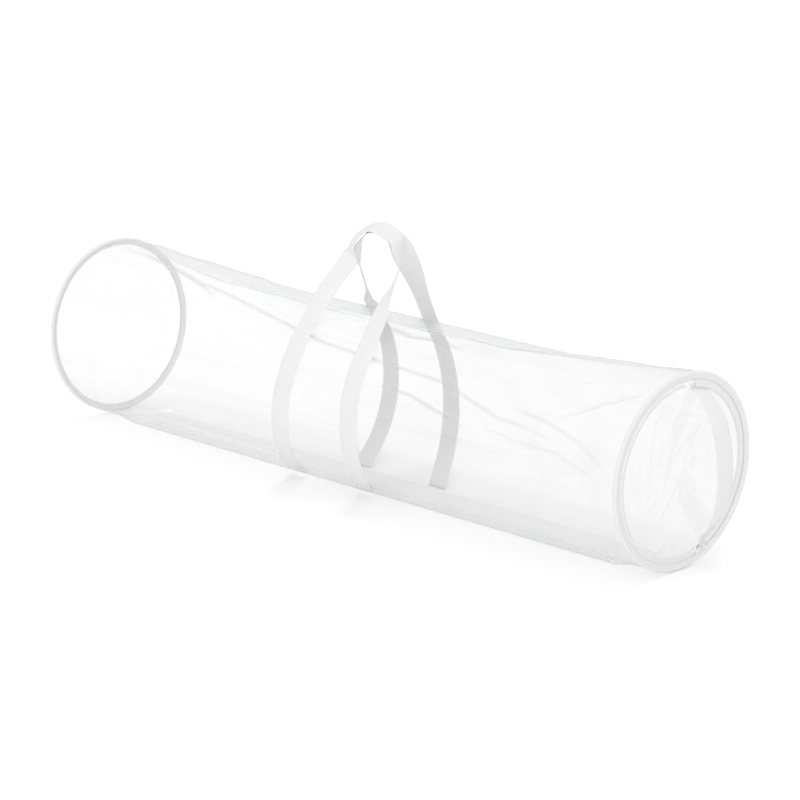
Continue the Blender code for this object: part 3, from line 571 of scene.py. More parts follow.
def make_dents():
    """Rows of (along, round, direction, half length, half width, height), all but the third in metres."""
    source = np.random.default_rng(SEED)
    rows = []
    for count, places, turns, spread, lengths, widths, heights in (DENTS_EVERYWHERE, DENTS_NEAR_ZIP):
        for _ in range(count):
            along = source.uniform(*places)
            angle = math.radians(source.uniform(*turns))
            slant = source.normal(0.0, spread)
            length = source.uniform(*lengths)
            width = source.uniform(*widths)
            height = source.uniform(*heights) * source.choice((-1, 1))
            rows.append((along, angle * AXIS_HEIGHT, slant, length, width, height))
    return rows


def one_dent(run, rise, slant, length, width):
    """A short ridge with a shallow trough along each side, 1 high."""
    ahead = (run * math.cos(slant) + rise * math.sin(slant)) / length
    aside = (rise * math.cos(slant) - run * math.sin(slant)) / width
    return np.exp(-(ahead**2) - aside**2) * (1 - DENT_SPRING * aside**2)


DENTS = make_dents()


def dent_depth(along, angle):
    depth = np.zeros(np.broadcast(along, angle).shape)
    girth = math.tau * AXIS_HEIGHT
    for place, round_tube, slant, length, width, height in DENTS:
        rise = (angle * AXIS_HEIGHT - round_tube + girth / 2) % girth - girth / 2
        depth = depth + height * one_dent(along - place, rise, slant, length, width)
    return depth


def fade(distance, start, run):
    """0 up to the start, and 1 once the run is past."""
    return np.clip((distance - start) / run, 0, 1)


def film_surface(along, angle, lift=0.0, wrinkle=1.0):
    """Points of the film, or of a surface lifted off it, for arrays of places and angles."""
    along = np.asarray(along, float)
    angle = np.asarray(angle, float)
    at_hoop = np.clip((HALF_TUBE - np.abs(along)) / FADE_AT_HOOP, 0, 1)
    from_top = turn_between(angle, math.pi / 2)
    from_bottom = turn_between(angle, -math.pi / 2)
    taut = fade(from_top, *TOP_FADE) * fade(from_bottom, *LOWER_FADE)
    folds = crease_depth(along, angle) + dent_depth(along, angle) * taut
    folds = folds * at_hoop * fade(from_bottom, *REST_FADE) * wrinkle
    reach = film_radius(along, angle) + folds + lift
    rise = reach * np.sin(angle)
    lean = math.tan(HOOP_LEAN) * 2 * along / BAG_LENGTH
    return np.stack([along + rise * lean, reach * np.cos(angle), AXIS_HEIGHT + rise], axis=-1)


# %% [markdown]
# ## Mesh helpers
#
# Most pieces are grids of points: a sheet, or a strip swept along a path. One helper makes the grid into
# faces with a UV map in metres, so that a weave keeps its real size on every piece.

# %% Mesh helpers
SHEET_LIFT = -0.0004


def finish_object(name, mesh, material):
    mesh.materials.append(material)
    mesh.shade_smooth()
    return add_object(name, mesh)


def grid_faces(rows, columns, wrap_rows=False, wrap_columns=False):
    faces = []
    for row in range(rows if wrap_rows else rows - 1):
        here, there = row * columns, (row + 1) % rows * columns
        for column in range(columns if wrap_columns else columns - 1):
            beside = (column + 1) % columns
            faces.append((here + column, here + beside, there + beside, there + column))
    return faces


def set_uv(mesh, uv_rows, wraps=(0.0, 0.0)):
    """Writes each corner's UV; a face that crosses the seam goes on past it instead of back."""
    layer = mesh.uv_layers.new(name="metres")
    flat = np.asarray(uv_rows, float).reshape(-1, 2)
    values = []
    for polygon in mesh.polygons:
        corners = np.array([flat[index] for index in polygon.vertices])
        for side, wrap in enumerate(wraps):
            if wrap:
                past_seam = corners[:, side] < corners[:, side].max() - wrap / 2
                corners[:, side] += np.where(past_seam, wrap, 0)
        values.append(corners)
    layer.data.foreach_set("uv", np.concatenate(values).ravel())


def point_outwards(mesh):
    """Turns a closed mesh's faces outwards."""
    shaped = bmesh.new()
    shaped.from_mesh(mesh)
    bmesh.ops.recalc_face_normals(shaped, faces=shaped.faces)
    shaped.to_mesh(mesh)
    shaped.free()


def grid_object(
    name, points, material, uv, wraps=(0.0, 0.0), wrap_rows=False, wrap_columns=False, caps=False, flip=False
):
    """A grid of points (rows, columns, 3) as a mesh object; caps close a tube's two ends."""
    rows, columns = points.shape[:2]
    faces = grid_faces(rows, columns, wrap_rows, wrap_columns)
    if caps:
        faces.append(tuple(range(columns)))
        faces.append(tuple(range((rows - 1) * columns, rows * columns)))
    mesh = bpy.data.meshes.new(name)
    mesh.from_pydata(points.reshape(-1, 3).tolist(), [], faces)
    set_uv(mesh, uv, wraps)
    if caps or (wrap_rows and wrap_columns):
        point_outwards(mesh)
    elif flip:
        mesh.flip_normals()
    return finish_object(name, mesh, material)


# %% [markdown]
# ## The tube film
#
# One sheet of vinyl about 767 by 1,022 mm, rolled up and welded, with its two rims inside the piping. It
# is a single grid, finest over the front and the top, where the creases are. It has no thickness of its
# own, because real film is under a millimetre and every extra surface would make the clear layers darker
# than they are.

# %% Tube film
TUBE_COLUMNS = 400
# Round the tube: the angle where each band of rows starts, and how many rows it has.
ROW_BANDS = ((FINE_START, 170), (FINE_END, 26), (BOTTOM_START, 20), (BOTTOM_END, 24))


def make_tube_film():
    along = np.linspace(-HALF_TUBE, HALF_TUBE, TUBE_COLUMNS)[None, :]
    ends = [start for start, _ in ROW_BANDS[1:]] + [FINE_START + math.tau]
    bands = [np.linspace(start, end, rows, endpoint=False) for (start, rows), end in zip(ROW_BANDS, ends)]
    angle = np.concatenate(bands)[:, None]
    points = film_surface(along, angle, SHEET_LIFT)
    uv = np.stack(np.broadcast_arrays(along, angle * AXIS_HEIGHT), axis=-1)
    girth = math.tau * AXIS_HEIGHT
    film = grid_object("tube_sheet", points, vinyl, uv, wraps=(0.0, girth), wrap_rows=True, flip=True)
    # The fold value is the share of painted shade along the creases, stored on the sheet's points.
    fold = film.data.attributes.new("fold", "FLOAT", "POINT")
    fold.data.foreach_set("value", painted_crease_shade(along, angle).ravel().astype(np.float32))
    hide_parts("tube_film")
    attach(film, "bag")
    return film


tube_film = make_tube_film()
print("tube film has", len(tube_film.data.vertices), "points")

# %% [markdown]
# ## Carry handles
#
# Each handle is one length of webbing: a leg sewn to the wall, a free loop over the top, and a second
# leg. The loop turns over on itself where the two handles are gathered. It could be a curve with a flat
# bevel, but a curve's tilt is hard to steer through such turns. So each station along the strap is set by
# its middle and by the direction across it, and a rounded section is swept through them.

# %% Strap path rules
LEAVE_ANGLE = math.radians(39)
HANDLE_RISE = 0.1375
STACK_SHARE = 0.107
HINGE_RADIUS = AXIS_HEIGHT + 2 * CLEARANCE + 1.5 * WEBBING_THICKNESS
HINGE_Y = HINGE_RADIUS * math.cos(LEAVE_ANGLE)
HINGE_Z = AXIS_HEIGHT + HINGE_RADIUS * math.sin(LEAVE_ANGLE)
KEY_STEPS = 7
LEG_STEPS = 60
FRONT_LEG_END = math.pi + math.radians(67)
REAR_LEG_END = -math.radians(72)
# The legs follow this share of the film's folds.
LEG_WRINKLE = 0.85

# Shares: along the leg spacing, out to the hinge line, up the rise, then the direction across.
FRONT_LOOP = (
    (-1.000, 1.000, 0.000, 1.00, 0.00, 0.00),
    (-1.009, 0.805, 0.156, 1.00, 0.00, 0.00),
    (-0.944, 0.593, 0.371, 0.98, 0.10, -0.05),
    (-0.786, 0.382, 0.585, 0.97, 0.12, -0.12),
    (-0.761, 0.248, 0.669, 0.97, 0.00, -0.23),
    (-0.815, 0.175, 0.716, 0.92, -0.10, -0.17),
    (-0.966, 0.093, 0.771, 0.83, -0.50, 0.21),
    (-0.882, 0.041, 0.855, 0.66, -0.67, -0.18),
    (-0.639, 0.010, 0.949, 0.35, -0.85, -0.30),
    (-0.330, 0.000, 1.000, 0.10, -0.96, -0.25),
    (-0.070, 0.000, 0.992, 0.10, -0.96, -0.25),
    (0.191, 0.000, 0.962, 0.12, -0.96, -0.23),
    (0.347, 0.000, 0.932, 0.15, -0.96, -0.22),
    (0.460, 0.057, 0.896, 0.25, -0.94, -0.18),
    (0.597, 0.129, 0.820, 0.45, -0.88, 0.00),
    (0.769, 0.206, 0.719, 0.69, -0.70, 0.15),
    (0.850, 0.361, 0.580, 0.74, -0.64, 0.15),
    (0.884, 0.537, 0.436, 0.92, -0.38, 0.05),
    (0.930, 0.712, 0.262, 1.00, -0.08, 0.00),
    (0.966, 0.877, 0.105, 1.00, 0.00, 0.00),
    (1.000, 1.000, 0.000, 1.00, 0.00, 0.00),
)
REAR_LOOP = (
    (-1.000, 1.000, 0.000, 1.00, 0.00, 0.00),
    (-0.981, 0.929, 0.063, 1.00, -0.06, 0.00),
    (-0.947, 0.870, 0.112, 0.92, -0.34, 0.08),
    (-0.695, 0.700, 0.242, 0.78, -0.60, 0.15),
    (-0.524, 0.506, 0.462, 0.75, -0.64, 0.15),
    (-0.272, 0.310, 0.652, 0.45, -0.88, -0.10),
    (-0.048, 0.206, 0.785, 0.35, -0.90, -0.20),
    (0.229, 0.155, 0.871, 0.35, -0.90, -0.25),
    (0.486, 0.098, 0.930, 0.28, -0.91, -0.28),
    (0.790, 0.046, 0.991, 0.12, -0.96, -0.25),
    (1.095, 0.046, 1.007, 0.10, -0.96, -0.25),
    (1.400, 0.036, 0.980, 0.10, -0.96, -0.25),
    (1.600, 0.036, 0.943, 0.05, -0.96, -0.25),
    (1.638, 0.129, 0.823, -0.45, -0.80, -0.40),
    (1.514, 0.356, 0.607, -0.85, -0.45, -0.20),
    (1.314, 0.619, 0.357, -1.00, -0.10, 0.00),
    (1.143, 0.836, 0.149, -1.00, 0.00, 0.00),
    (1.000, 1.000, 0.000, -1.00, 0.00, 0.00),
)


def smooth_rows(keys, steps):
    """A curve through rows of numbers, with the same rule as the CAD's."""
    rows = np.asarray(keys, float)
    path = []
    last = len(rows) - 1
    for index in range(last):
        before, start = rows[max(index - 1, 0)], rows[index]
        end, after = rows[index + 1], rows[min(index + 2, last)]
        for step in range(steps):
            t = step / steps
            bend = 2 * before - 5 * start + 4 * end - after
            pull = 3 * start - before - 3 * end + after
            path.append((2 * start + (end - before) * t + bend * t**2 + pull * t**3) / 2)
    path.append(rows[last])
    return np.array(path)


def leg_span(front):
    """The angles where a leg starts, at the hinge line, and where it ends."""
    return (math.pi - LEAVE_ANGLE, FRONT_LEG_END) if front else (LEAVE_ANGLE, REAR_LEG_END)


def leg_middle(leg, front, angle):
    """How far along the tube the middle of a leg lies at each angle."""
    leg_x, drift, power = leg
    start, end = leg_span(front)
    return leg_x + drift * ((angle - start) / (end - start)) ** power


def leg_rows(leg, front, turned):
    """Middles and directions across of a sewn leg, from the hinge line down."""
    angle = np.linspace(*leg_span(front), LEG_STEPS)
    along = leg_middle(leg, front, angle)
    lift = CLEARANCE + WEBBING_THICKNESS / 2
    half = WEBBING_WIDTH / 2
    left, right = (film_surface(along + side * half, angle, lift, LEG_WRINKLE) for side in (-1, 1))
    across = (right - left) / 2
    return (left + right) / 2, -across if turned else across


def loop_rows(keys, left_x, right_x, front):
    """Middles and directions across of the free loop."""
    path = smooth_rows(keys, KEY_STEPS)
    rise = HANDLE_RISE if front else HANDLE_RISE - WEBBING_WIDTH * STACK_SHARE
    side = -1 if front else 1
    middle = (left_x + right_x) / 2
    spread = (right_x - left_x) / 2
    centres = np.stack(
        [middle + path[:, 0] * spread, side * HINGE_Y * path[:, 1], HINGE_Z + rise * path[:, 2]], axis=-1
    )
    across = path[:, 3:] / np.linalg.norm(path[:, 3:], axis=1)[:, None] * WEBBING_WIDTH / 2
    return centres, across


# %% [markdown]
# ### The webbing's section
#
# Woven edges are round and a little thinner than the middle. The section is a flat oval of 20 points, and
# the two cut ends are closed. The direction across follows the same smooth curve as the strap's middle,
# so the strap turns without a break.

# %% Sweep a strap
SECTION_HALF = (-1.0, -0.985, -0.93, -0.62, -0.3, 0.0, 0.3, 0.62, 0.93, 0.985, 1.0)
SECTION_EASE = 8


def strap_section():
    """Rows of (share across, share of the half thickness) round the section."""
    top = [(t, max(1 - abs(t) ** SECTION_EASE, 0.0) ** 0.5) for t in SECTION_HALF]
    bottom = [(t, -height) for t, height in reversed(top[1:-1])]
    return top + bottom


def strap_object(name, points, uv):
    """A closed strap of webbing from its rings of points."""
    wraps = (2 * WEBBING_WIDTH, 0.0)
    return grid_object(name, points, webbing_white, uv, wraps, wrap_columns=True, caps=True)


def sweep_strap(name, centres, across):
    """A webbing strap through the stations, with a UV map in metres, and its length."""
    run = np.gradient(centres, axis=0)
    run /= np.linalg.norm(run, axis=1)[:, None]
    face = np.cross(across, run)
    face /= np.linalg.norm(face, axis=1)[:, None]
    length = np.concatenate([[0], np.cumsum(np.linalg.norm(np.diff(centres, axis=0), axis=1))])
    points = []
    uv = []
    for t, height in strap_section():
        points.append(centres + across * t + face * (height * WEBBING_THICKNESS / 2))
        width = t if height >= 0 else 2 - t
        uv.append(np.stack([np.full(len(length), width * WEBBING_WIDTH / 2), length], axis=-1))
    return strap_object(name, np.stack(points, axis=1), np.stack(uv, axis=1)), length[-1]


def make_carry_handle(name, keys, legs, front):
    """One length of webbing: leg, loop and leg."""
    first, first_across = leg_rows(legs[0], front, False)
    last, last_across = leg_rows(legs[1], front, not front)
    middle, middle_across = loop_rows(keys, legs[0][0], legs[1][0], front)
    centres = np.concatenate([first[::-1][:-2], middle[1:-1], last[2:]])
    across = np.concatenate([first_across[::-1][:-2], middle_across[1:-1], last_across[2:]])
    strap, length = sweep_strap(name, centres, across)
    print(name, "is", round(length, 3), "m of webbing")
    return strap


# %% Carry handles
# Each leg: its place along the tube at the hinge line, its drift from there and the power of the drift.
FRONT_LEGS = ((-0.0415, -0.055, 2), (0.0755, -0.0455, 4))
REAR_LEGS = ((-0.104, 0.035, 2), (0.001, 0.070, 2))
front_strap = make_carry_handle("front_strap", FRONT_LOOP, FRONT_LEGS, True)
rear_strap = make_carry_handle("rear_strap", REAR_LOOP, REAR_LEGS, False)
for strap, side, body in ((front_strap, "front", "front_handle"), (rear_strap, "rear", "rear_handle")):
    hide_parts(body, side + "_left_leg", side + "_right_leg")
    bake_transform(strap)


# %% [markdown]
# ## The two ends' own frames
#
# The hoops lean 1.7 degrees, so everything on an end is laid out in that end's own frame: outward, then
# two directions in the hoop's plane. On the zipped end a second pair follows the fold line: across it
# towards the strap, and up along it.


# %% End frames
def end_place(outward, flat_y, flat_z, right=True):
    """Points of an end's frame, for arrays, in the shared frame."""
    side = 1 if right else -1
    lean, stand = math.sin(HOOP_LEAN), math.cos(HOOP_LEAN)
    outward, flat_y, flat_z = (np.asarray(value, float) for value in (outward, flat_y, flat_z))
    x = side * (BAG_LENGTH / 2 + outward * stand + flat_z * lean)
    z = AXIS_HEIGHT - outward * lean + flat_z * stand
    return np.stack(np.broadcast_arrays(x, flat_y, z), axis=-1)


def fold_place(outward, across, up):
    """Points laid out from the fold line: across it towards the strap, and up along it."""
    across = np.asarray(across, float)
    up = np.asarray(up, float)
    flat_y = across * math.cos(STRAP_TURN) - up * math.sin(STRAP_TURN)
    flat_z = across * math.sin(STRAP_TURN) + up * math.cos(STRAP_TURN)
    return end_place(outward, flat_y, flat_z)


# %% [markdown]
# ## End discs
#
# Both discs are soft film, never quite flat. The near one shows a long diagonal fold, two upright
# streaks and crumpled film at its foot. They are given as ridges in the disc's plane, over small
# seeded ones. The zipped disc is one sheet, over both the narrow part behind the strap and the flap.

# %% End disc rule
DISC_RINGS = 84
DISC_SPOKES = 224
NEAR_FOLDS = (
    (0.0018, 0.0060, ((0.045, 0.066), (0.016, 0.035), (-0.004, 0.011), (-0.020, -0.021), (-0.043, -0.052))),
    (0.0013, 0.0055, ((-0.056, 0.080), (-0.062, 0.037), (-0.065, 0.005), (-0.065, -0.030))),
    (0.0010, 0.0050, ((-0.074, 0.056), (-0.077, 0.021), (-0.079, -0.010), (-0.081, -0.036))),
    (0.0010, 0.0035, ((-0.087, -0.046), (-0.042, -0.058), (-0.001, -0.072), (0.034, -0.073))),
    (0.0009, 0.0030, ((-0.030, -0.084), (-0.007, -0.088), (0.012, -0.093))),
    (0.0009, 0.0030, ((-0.022, -0.095), (-0.004, -0.082), (0.014, -0.082))),
    (0.0010, 0.0040, ((-0.030, 0.020), (-0.034, -0.010), (-0.036, -0.045))),
)
FAR_FOLDS = (
    (0.0016, 0.0060, ((-0.080, 0.060), (-0.020, 0.040), (0.040, 0.030), (0.085, 0.045))),
    (0.0014, 0.0050, ((-0.060, -0.060), (-0.020, -0.020), (0.030, -0.010))),
    (0.0012, 0.0050, ((0.020, 0.090), (0.045, 0.050), (0.070, 0.000))),
)
# The trough beside a ridge: its depth, place and half width as shares of the ridge's.
TROUGH_SHARE, TROUGH_PLACE, TROUGH_WIDTH = 0.7, 1.8, 1.3
DISC_DENT_COUNT = 45
DISC_DENT_LENGTH = (0.010, 0.045)
DISC_DENT_WIDTH = (0.0045, 0.0100)
DISC_DENT_HEIGHT = (0.0001, 0.0006)
DISC_RIM_FADE = 0.012
# The near disc lies flat under the strap's sewn ends: across the fold line, then up along it, the place
# where that starts and the run over which it grows.
UNDER_STRAP = (FOLD_OFFSET - 0.003, 0.004)
SEWN_ENDS = (0.045, 0.02)
FOLD_HALF = 0.003


def ridge_height(flat_y, flat_z, folds):
    """Ridges along broken lines in the disc's plane."""
    height = np.zeros(np.broadcast(flat_y, flat_z).shape)
    for size, width, path in folds:
        nearest = np.full(height.shape, 1.0)
        signed = np.zeros(height.shape)
        for (y0, z0), (y1, z1) in zip(path, path[1:]):
            run_y, run_z = y1 - y0, z1 - z0
            length = math.hypot(run_y, run_z)
            share = np.clip(((flat_y - y0) * run_y + (flat_z - z0) * run_z) / length**2, 0, 1)
            away = np.hypot(flat_y - y0 - share * run_y, flat_z - z0 - share * run_z)
            side = ((flat_y - y0) * run_z - (flat_z - z0) * run_y) / length
            closer = away < nearest
            nearest = np.where(closer, away, nearest)
            signed = np.where(closer, side, signed)
        ridge = np.exp(-((nearest / width) ** 2))
        trough = np.exp(-(((nearest - TROUGH_PLACE * width) / (TROUGH_WIDTH * width)) ** 2))
        height = height + size * (ridge - TROUGH_SHARE * trough * (signed > 0))
    return height


def disc_dents(flat_y, flat_z, seed):
    source = np.random.default_rng(seed)
    height = np.zeros(np.broadcast(flat_y, flat_z).shape)
    for _ in range(DISC_DENT_COUNT):
        reach = END_FILM_RADIUS * math.sqrt(source.random())
        turn = source.uniform(0, math.tau)
        slant = source.uniform(0, math.pi)
        length = source.uniform(*DISC_DENT_LENGTH)
        width = source.uniform(*DISC_DENT_WIDTH)
        size = source.uniform(*DISC_DENT_HEIGHT) * source.choice((-1, 1))
        run = flat_y - reach * math.cos(turn)
        rise = flat_z - reach * math.sin(turn)
        height = height + size * one_dent(run, rise, slant, length, width)
    return height


def disc_relief(flat_y, flat_z, folds, right):
    """How far the film of a disc stands out of its plane."""
    return ridge_height(flat_y, flat_z, folds) + disc_dents(flat_y, flat_z, SEED + right)


def make_disc(name, radius, folds, right):
    """A disc of film as rings and spokes round a middle point."""
    ring = np.linspace(0, 1, DISC_RINGS + 1)[1:] * radius
    spoke = np.arange(DISC_SPOKES) * math.tau / DISC_SPOKES
    flat_y = ring[:, None] * np.cos(spoke)
    flat_z = ring[:, None] * np.sin(spoke)
    relief = disc_relief(flat_y, flat_z, folds, right)
    if right:
        across = flat_y * math.cos(STRAP_TURN) + flat_z * math.sin(STRAP_TURN)
        up = flat_z * math.cos(STRAP_TURN) - flat_y * math.sin(STRAP_TURN)
        relief = relief * (1 - fade(across, *UNDER_STRAP) * fade(np.abs(up), *SEWN_ENDS))
    relief = relief * np.clip((radius - ring) / DISC_RIM_FADE, 0, 1)[:, None]
    points = end_place(relief, flat_y, flat_z, right).reshape(-1, 3).tolist()
    middle = np.zeros(1)
    points += end_place(disc_relief(middle, middle, folds, right), middle, middle, right).tolist()
    faces = grid_faces(DISC_RINGS, DISC_SPOKES, wrap_columns=True)
    centre = len(points) - 1
    faces += [(centre, (index + 1) % DISC_SPOKES, index) for index in range(DISC_SPOKES)]
    mesh = bpy.data.meshes.new(name)
    mesh.from_pydata(points, [], faces)
    set_uv(mesh, [point[1:] for point in points])
    outwards = Vector((1 if right else -1, 0, 0))
    if sum(polygon.normal.dot(outwards) for polygon in mesh.polygons) < 0:
        mesh.flip_normals()
    return finish_object(name, mesh, vinyl)


# %% End discs
far_disc = make_disc("far_end_disc", RIM_RADIUS, FAR_FOLDS, False)
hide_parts("left_end_film")
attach(far_disc, "bag")
near_disc = make_disc("near_end_disc", END_FILM_RADIUS, NEAR_FOLDS, True)
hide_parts("segment_film", "end_flap_film")
fold_start = Vector(fold_place(FILM_THICKNESS / 2, FOLD_OFFSET + FOLD_HALF, 0.0))
fold_end = Vector(fold_place(FILM_THICKNESS / 2, FOLD_OFFSET - FOLD_HALF, 0.0))
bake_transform(near_disc)
for disc, width in ((far_disc, 2 * RIM_RADIUS), (near_disc, 2 * END_FILM_RADIUS)):
    print(disc.name, "is cut", round(width, 4), "m across")

# %% [markdown]
# ## Piping
#
# The hoop runs in a narrow sleeve of white cloth, and the sleeve's two lips are sewn over the film's edge
# as a flat flange. The cloth puckers a little at each stitch. The section is swept round the hoop, and
# the sleeve's radius swells and sinks between stitches.

# %% Piping sleeve
PIPING_STEPS = 420
PUCKERS = 84
PUCKER_DEPTH = 0.00009
SWELL_DEPTH = 0.00003
SWELL_TURNS = (5, 12, 19, 26, 33, 40)
SLEEVE_WALL_IN = 0.0002
SLEEVE_POINTS = 17
SLOT_HALF = 0.0007
SLOT_DEPTH = PIPING_RADIUS - 0.0007
LIP_OUT = 0.0012
# One lip from its cut edge to the sleeve: how far out, and how far up from its edge.
LIP_POINTS = ((SLOT_HALF, 0.0), (LIP_OUT - 0.0002, -0.0002), (LIP_OUT, 0.0003), (LIP_OUT - 0.00015, 0.0018))


def piping_section(puff):
    """The sleeve and its two lips, as (outward, radial) offsets from the wire."""
    outer = PIPING_RADIUS - SLEEVE_WALL_IN + puff
    lip_end = LIP_RADIUS - HOOP_RADIUS
    start = math.asin(LIP_OUT / outer)
    lip = [(out, lip_end + rise) for out, rise in LIP_POINTS]
    turns = np.linspace(start, math.tau - start, SLEEVE_POINTS)
    sleeve = [(outer * math.sin(turn), -outer * math.cos(turn)) for turn in turns]
    other_lip = [(-out, rise) for out, rise in reversed(lip)]
    return lip + sleeve + other_lip + [(-SLOT_HALF, -SLOT_DEPTH), (SLOT_HALF, -SLOT_DEPTH)]


def make_piping(name, node, right):
    source = np.random.default_rng(SEED + 11 + right)
    swell = [source.normal(0, 1) for _ in SWELL_TURNS]
    rings = []
    for step in range(PIPING_STEPS):
        angle = math.tau * step / PIPING_STEPS
        puff = PUCKER_DEPTH * math.cos(PUCKERS * angle)
        for turns, size in zip(SWELL_TURNS, swell):
            puff += SWELL_DEPTH * size * math.sin(turns * angle + size)
        section = np.array(piping_section(puff))
        radius = HOOP_RADIUS + section[:, 1]
        rings.append(end_place(section[:, 0], radius * math.cos(angle), radius * math.sin(angle), right))
    points = np.stack(rings)
    girth = np.linalg.norm(np.roll(points[0], -1, axis=0) - points[0], axis=1)
    around = np.concatenate([[0], np.cumsum(girth)[:-1]])
    length = math.tau * HOOP_RADIUS
    along = np.arange(PIPING_STEPS) * length / PIPING_STEPS
    uv = np.stack(np.broadcast_arrays(around[None, :], along[:, None]), axis=-1)
    wraps = (float(girth.sum()), length)
    sleeve = grid_object(name, points, piping_white, uv, wraps, wrap_rows=True, wrap_columns=True)
    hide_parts(node)
    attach(sleeve, "bag")
    return sleeve


for node, right in (("left_piping", False), ("right_piping", True)):
    sleeve = make_piping(node.replace("piping", "sleeve"), node, right)
    print(sleeve.name, "has", len(sleeve.data.polygons), "faces")

# %% [markdown]
# ## Zip tapes and the rim's binding
#
# A zip's teeth are woven into two cloth tapes. One is sewn under the piping's lips, the other to the edge
# of the flap. Where there is no zip, behind the strap, a plain binding closes the rim and laps over the
# strap's two cut ends. Each is a thin strip with soft edges that follows the rim.

# %% Rim strips
ARC_STEP = math.radians(1.0)
TAPE_THICKNESS = 0.0008
TAPE_WIDTH = 0.0024
ROW_GAP = 0.0006
TOOTH_WIDTH = 0.0020
SLIDER_WIDTH = 0.0068
SLIDER_LENGTH = 0.0095
STOP_LENGTH = 0.0022
FLAP_TAPE = (END_FILM_RADIUS + CLEARANCE, END_FILM_RADIUS + CLEARANCE + TAPE_WIDTH)
TUBE_TAPE = (ZIP_RADIUS + ROW_GAP + TOOTH_WIDTH + CLEARANCE, RIM_RADIUS)
SLIDER_TURN = math.acos((FOLD_OFFSET + SLIDER_WIDTH / 3) / ZIP_RADIUS)
ZIP_UPPER = STRAP_TURN + SLIDER_TURN
ZIP_LOWER = STRAP_TURN + math.tau - SLIDER_TURN
STOP_REACH = (SLIDER_LENGTH / 2 + 2 * CLEARANCE) / ZIP_RADIUS
STOP_PAST = (STOP_LENGTH + 2 * CLEARANCE) / ZIP_RADIUS
TAPE_UPPER = ZIP_UPPER - STOP_REACH - STOP_PAST
TAPE_LOWER = ZIP_LOWER + STOP_REACH + STOP_PAST
TAIL_TAPE = (END_FILM_RADIUS + CLEARANCE, ZIP_RADIUS - 0.0008)
TAIL_LAP = math.radians(0.4)
TAIL_START = 0.0004
BINDING_LAP = 0.0012
BINDING_PROUD = 0.0014
BINDING_GAP = CLEARANCE / ZIP_RADIUS
# A strip's section, as shares: its rounded edge, the end of its proud part, and the slope after it.
EDGE_SHARE = 0.55
PROUD_SHARE = 0.3
SLOPE_SHARE, SLOPE_HEIGHT_SHARE = 0.6, 0.2
# Both ends of the flap's tape stop this far short of the fold line, so that the pull swings clear of the
# open flap's tape.
FLAP_TAPE_SHORT = (0.0055, 0.0075)


def flap_arc(across, radius):
    """The rim angles of the flap's part of a circle, cut at a distance across."""
    turn = math.acos(across / radius)
    return STRAP_TURN + turn, STRAP_TURN + math.tau - turn


def rim_strip(name, inner, outer, start, end, proud=0.0):
    """A woven strip, slightly rounded, along part of the rim; proud raises its outward face."""
    count = max(int((end - start) / ARC_STEP), 4)
    half = TAPE_THICKNESS / 2
    edge = half * EDGE_SHARE
    face = half + proud
    width = outer - inner
    slope = (half + proud * SLOPE_HEIGHT_SHARE, inner + width * SLOPE_SHARE)
    section = [(-half, inner + edge), (proud / 2, inner), (face, inner + edge)]
    section += [(face, inner + width * PROUD_SHARE), slope, (half, outer - edge), (0, outer)]
    section += [(-half, outer - edge), (-half, (inner + outer) / 2)]
    out, radius = np.array(section).T
    rows = []
    uv = []
    for angle in np.linspace(start, end, count + 1):
        rows.append(end_place(out, radius * math.cos(angle), radius * math.sin(angle)))
        uv.append(np.stack([radius - inner, np.full(len(section), (angle - start) * inner)], axis=-1))
    return grid_object(name, np.stack(rows), tape_white, np.stack(uv), wrap_columns=True, caps=True)


flap_upper, flap_lower = (
    flap_arc(FOLD_OFFSET - short, FLAP_TAPE[1])[end] for end, short in enumerate(FLAP_TAPE_SHORT)
)
binding_start, binding_end = TAPE_LOWER + BINDING_GAP, TAPE_UPPER - BINDING_GAP + math.tau
tail_start, tail_end = flap_arc(FOLD_OFFSET + TAIL_START, FLAP_TAPE[1])
tube_tape = rim_strip("zip_tape_outer", *TUBE_TAPE, TAPE_UPPER, TAPE_LOWER)
flap_tape = rim_strip("zip_tape_inner", *FLAP_TAPE, flap_upper, flap_lower)
binding = rim_strip(
    "rim_binding", END_FILM_RADIUS - BINDING_LAP, RIM_RADIUS, binding_start, binding_end, BINDING_PROUD
)
tails = (
    rim_strip("binding_tail_upper", *TAIL_TAPE, TAPE_UPPER - TAIL_LAP, tail_start),
    rim_strip("binding_tail_lower", *TAIL_TAPE, tail_end, TAPE_LOWER + TAIL_LAP),
)
for strip in tails:
    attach(strip, "bag")
for strip, node, body in (
    (tube_tape, "zip_tape_tube_side", "bag"),
    (flap_tape, "zip_tape_flap_side", "end_flap"),
    (binding, "segment_binding", "bag"),
):
    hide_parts(node)
    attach(strip, body)
    print(strip.name, "runs", round(strip.dimensions.z, 3), "m high")

# %% [markdown]
# ## Zip teeth
#
# The zip is a nylon coil: one rounded element every 1.6 mm on each side of the groove. Geometry Nodes
# suit it: a line round the rim is resampled at the pitch, and one tooth stands at each point, turned to
# face the groove. The frame's two tooth rows are coarser combs, and these coils stand in for them.

# %% A node tree that repeats a shape along a line
ROW_INPUTS = (
    ("Pitch", "NodeSocketFloat"),
    ("Length", "NodeSocketFloat"),
    ("Depth", "NodeSocketFloat"),
    ("Height", "NodeSocketFloat"),
    ("Centre", "NodeSocketVector"),
    ("Finish", "NodeSocketMaterial"),
)
BALL = {"Segments": 8, "Rings": 5, "Radius": 0.5}


